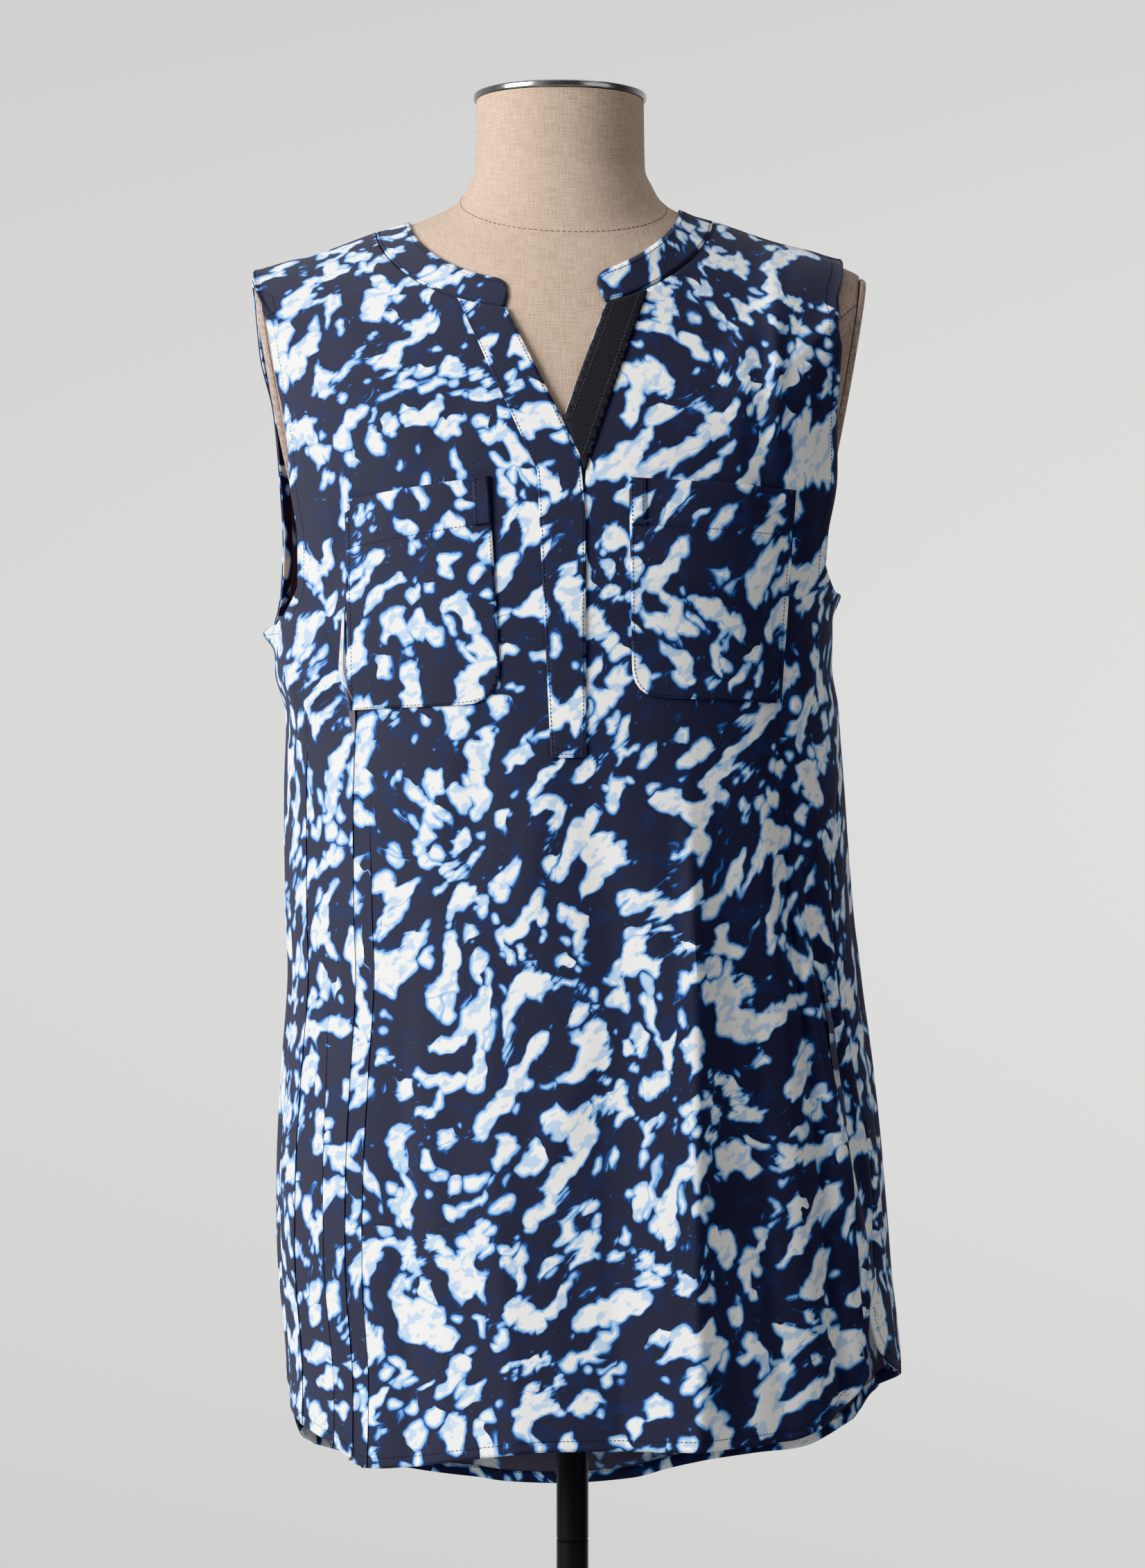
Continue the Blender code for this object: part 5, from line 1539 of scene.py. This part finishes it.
def pocket_swell(corners):
    xs = [corner[0] for corner in corners]
    zs = [corner[1] for corner in corners]

    def swell(x, z):
        across = min(1.0, max(0.0, (x - min(xs)) / (max(xs) - min(xs))))
        up = min(1.0, max(0.0, (z - min(zs)) / (max(zs) - min(zs))))
        return MOUTH_SWELL * math.sin(math.pi * across) * up ** MOUTH_CURVE
    return swell


for side, corners in POCKETS.items():
    finish = print_finish("print_pocket_" + side, POCKET_SHIFT[side])
    swell = pocket_swell(corners)
    pocket, POCKET_TREES[side], facts = lay_piece(
        "tunic_pocket_" + side, finish, ["pocket_" + side], rounded(corners), GAP,
        LAID, swell)
    tab, TAB_TREES[side], _ = lay_piece("tunic_pocket_tab_" + side, finish, (),
                                        TABS[side], 2.0 * GAP + LAID, TAB_CLOTH, swell)
    declare_sheet(pocket, facts)

# %% [markdown]
# ## Topstitching
# Every edge of the tunic is topstitched in navy thread: it vanishes on the dark ground and shows
# as fine dashes where it crosses a white blotch. A line is drawn as seen from the front, then
# dropped on the piece along the line of sight. Hems and armholes are followed from their own
# edges, as a presser foot does.

# %% Draw the stitch lines
DROP_STEP = 0.004         # between the points of a line that is dropped on a piece


def dropped(tree, line, step=DROP_STEP):
    """Points of a piece that lie behind a line of (x, z) points."""
    found = []
    for (x0, z0), (x1, z1) in zip(line, line[1:]):
        count = max(1, round(math.hypot(x1 - x0, z1 - z0) / step))
        for k in range(count + 1):
            start = Vector((x0 + (x1 - x0) * k / count, -1.0, z0 + (z1 - z0) * k / count))
            hit = tree.ray_cast(start, Vector((0.0, 1.0, 0.0)))[0]
            if hit is not None and (not found or (hit - found[-1]).length > SAME_SPOT):
                found.append(hit)
    return found


def beside(line, distance):
    """The same line, moved to its right-hand side as it runs."""
    moved = []
    for k, (x, z) in enumerate(line):
        x0, z0 = line[max(0, k - 1)]
        x1, z1 = line[min(len(line) - 1, k + 1)]
        length = math.hypot(x1 - x0, z1 - z0)
        moved.append((x + (z1 - z0) / length * distance, z - (x1 - x0) / length * distance))
    return moved


EDGE_STITCH = 0.0017
RIBBON_STITCH = 0.0043

stitches = bmesh.new()
over_normal = normal_on(OVER_TREE)
sew(stitches, dropped(OVER_TREE, beside(PLACKET_FOLD, EDGE_STITCH)), over_normal)
sew(stitches, dropped(OVER_TREE, beside(PLACKET_SEAM, -0.0012)), over_normal)
for rise in (0.0016, 0.0050):
    row = [(-0.0118, 1.0716 + rise), (0.0072, 1.0716 + rise)]
    sew(stitches, dropped(OVER_TREE, row), over_normal)
ribbon_stitches = bmesh.new()
for line, offset in ((TAPE_LEFT[:2], -RIBBON_STITCH), (TAPE_RIGHT[:2], RIBBON_STITCH)):
    sew(ribbon_stitches, dropped(RIBBON_TREE, beside(line, offset)), normal_on(RIBBON_TREE))
add_piece(ribbon_stitches, "tunic_ribbon_stitching", [GREY_THREAD])
for side, corners in POCKETS.items():
    tree = POCKET_TREES[side]
    outline = rounded(corners)
    sewn = outline if side == "right" else outline[1:] + outline[:1]
    sew(stitches, dropped(tree, beside(sewn, EDGE_STITCH)), normal_on(tree))
for side, tree in TAB_TREES.items():
    sew(stitches, dropped(tree, beside(TABS[side] + TABS[side][:1], 0.0013)), normal_on(tree))
POCKET_HEMS = {"left": [(-0.1405, 1.2019), (-0.0505, 1.2160)],
               "right": [(0.0362, 1.2150), (0.1368, 1.2098)]}
for side, line in POCKET_HEMS.items():
    sew(stitches, dropped(POCKET_TREES[side], line), normal_on(POCKET_TREES[side]))
EDGE_INSET = 0.0010       # from a turned edge's fold to its stitches
STITCH_LIFT = 0.0008      # of the inner thread over the cloth's inside
HEM_STEPS = 240
for spot, tree in ((front_spot, FRONT_TREE), (back_spot, BACK_TREE)):
    for far_side in (False, True):
        sew(stitches, armhole_line(spot, far_side, tree, ARMHOLE_WIDTH - EDGE_INSET, 0.0),
            normal_on(tree))
for spot, hem, tree in ((front_spot, front_hem, FRONT_TREE), (back_spot, back_hem, BACK_TREE)):
    line = [on_cloth(tree, hem_spot(spot, hem, k / HEM_STEPS, HEM_WIDTH - EDGE_INSET), 0.0)
            for k in range(2, HEM_STEPS - 1)]
    sew(stitches, line, normal_on(tree))
    inner = [spot_here - tree.find_nearest(spot_here)[1] * (CLOTH + STITCH_LIFT)
             for spot_here in line]
    sew(stitches, inner, lambda place, tree=tree: -tree.find_nearest(place)[1])
BAND_LINES = (0.13, 0.93)  # the two rows on the collar band, as shares of its height
LINE_START = 0.008
LINE_SPAN = 0.984
for down in BAND_LINES:
    line = [on_cloth(BAND_TREE, band_place(LINE_START + LINE_SPAN * k / HEM_STEPS, down), 0.0)
            for k in range(HEM_STEPS + 1)]
    sew(stitches, line, normal_on(BAND_TREE))
add_piece(stitches, "tunic_topstitching", [THREAD])

# %% [markdown]
# ## Floor, light and air
# One large lamp far to the left models the folds: it grazes the front, so every ridge has a bright
# and a dark flank. A weak lamp on the right and one above keep the shadows readable. The air is
# pale behind the garment and dim elsewhere, as in a room with one white wall. The floor is a pale
# disc, wide enough for the stand and short enough to stay below the picture. The view transform
# is the neutral one made for product pictures: it keeps navy deep and white cloth white, where a
# film-like one would grey both.

# %% Set the stage
FLOOR_RADIUS = 2.0
STAGE_LIGHTS = (
    # name, place, where it points, width, power in watts
    ("key", (-2.35, -1.55, 1.9), (0.0, 0.0, 1.05), 1.6, 112.0),
    ("fill", (2.4, -2.0, 1.5), (0.0, 0.0, 1.05), 2.0, 13.0),
    ("top", (0.1, -0.2, 3.0), (0.0, 0.0, 1.10), 1.6, 10.0),
)

floor_mesh = bmesh.new()
bmesh.ops.create_circle(floor_mesh, cap_ends=True, segments=96, radius=FLOOR_RADIUS)
floor_data = bpy.data.meshes.new("studio_floor")
floor_mesh.transform(Matrix.Translation((0.0, 0.0, -0.0002)))
floor_mesh.to_mesh(floor_data)
floor_mesh.free()
floor_data.materials.append(FLOOR_FINISH)
floor = bpy.data.objects.new("studio_floor", floor_data)
bpy.context.scene.collection.objects.link(floor)

for name, place, target, width, power in STAGE_LIGHTS:
    light = bpy.data.lights.new(name, "AREA")
    light.shape = "SQUARE"
    light.size = width
    light.energy = power
    lamp = bpy.data.objects.new(name, light)
    lamp.location = place
    aim = Vector(target) - Vector(place)
    lamp.rotation_euler = aim.to_track_quat("-Z", "Y").to_euler()
    bpy.context.scene.collection.objects.link(lamp)

world = bpy.data.worlds.new("studio_air")
world.use_nodes = True
bpy.context.scene.world = world
air = world.node_tree
background = air.nodes["Background"]
direction = put(air, "TexCoord", {}, {})["Generated"]
parts = put(air, "SeparateXYZ", {}, {0: direction})
dip = sums(air, "MULTIPLY", sums(air, "MULTIPLY", parts[2], parts[2]), -1.75)
height = sums(air, "ADD", dip, sums(air, "ADD", sums(air, "MULTIPLY", parts[0], 0.15), 0.757))
wall = coloured(air, height, [(0.55, (0.550, 0.550, 0.550)), (0.80, (0.800, 0.798, 0.792))])
room = coloured(air, sums(air, "ADD", sums(air, "MULTIPLY", parts[0], -0.5), 0.5),
                [(0.0, (0.120, 0.120, 0.124)), (0.5, (0.230, 0.230, 0.234)),
                 (1.0, (0.420, 0.420, 0.420))])
ahead = put(air, "MapRange", {"interpolation_type": "SMOOTHSTEP"},
            {"Value": parts[1], "From Min": 0.05, "From Max": 0.85})[0]
air.links.new(mixed(air, ahead, room, wall), background.inputs["Color"])
background.inputs["Strength"].default_value = 1.0
bpy.context.scene.view_settings.view_transform = "Khronos PBR Neutral"
print(len(STAGE_LIGHTS), "lights")
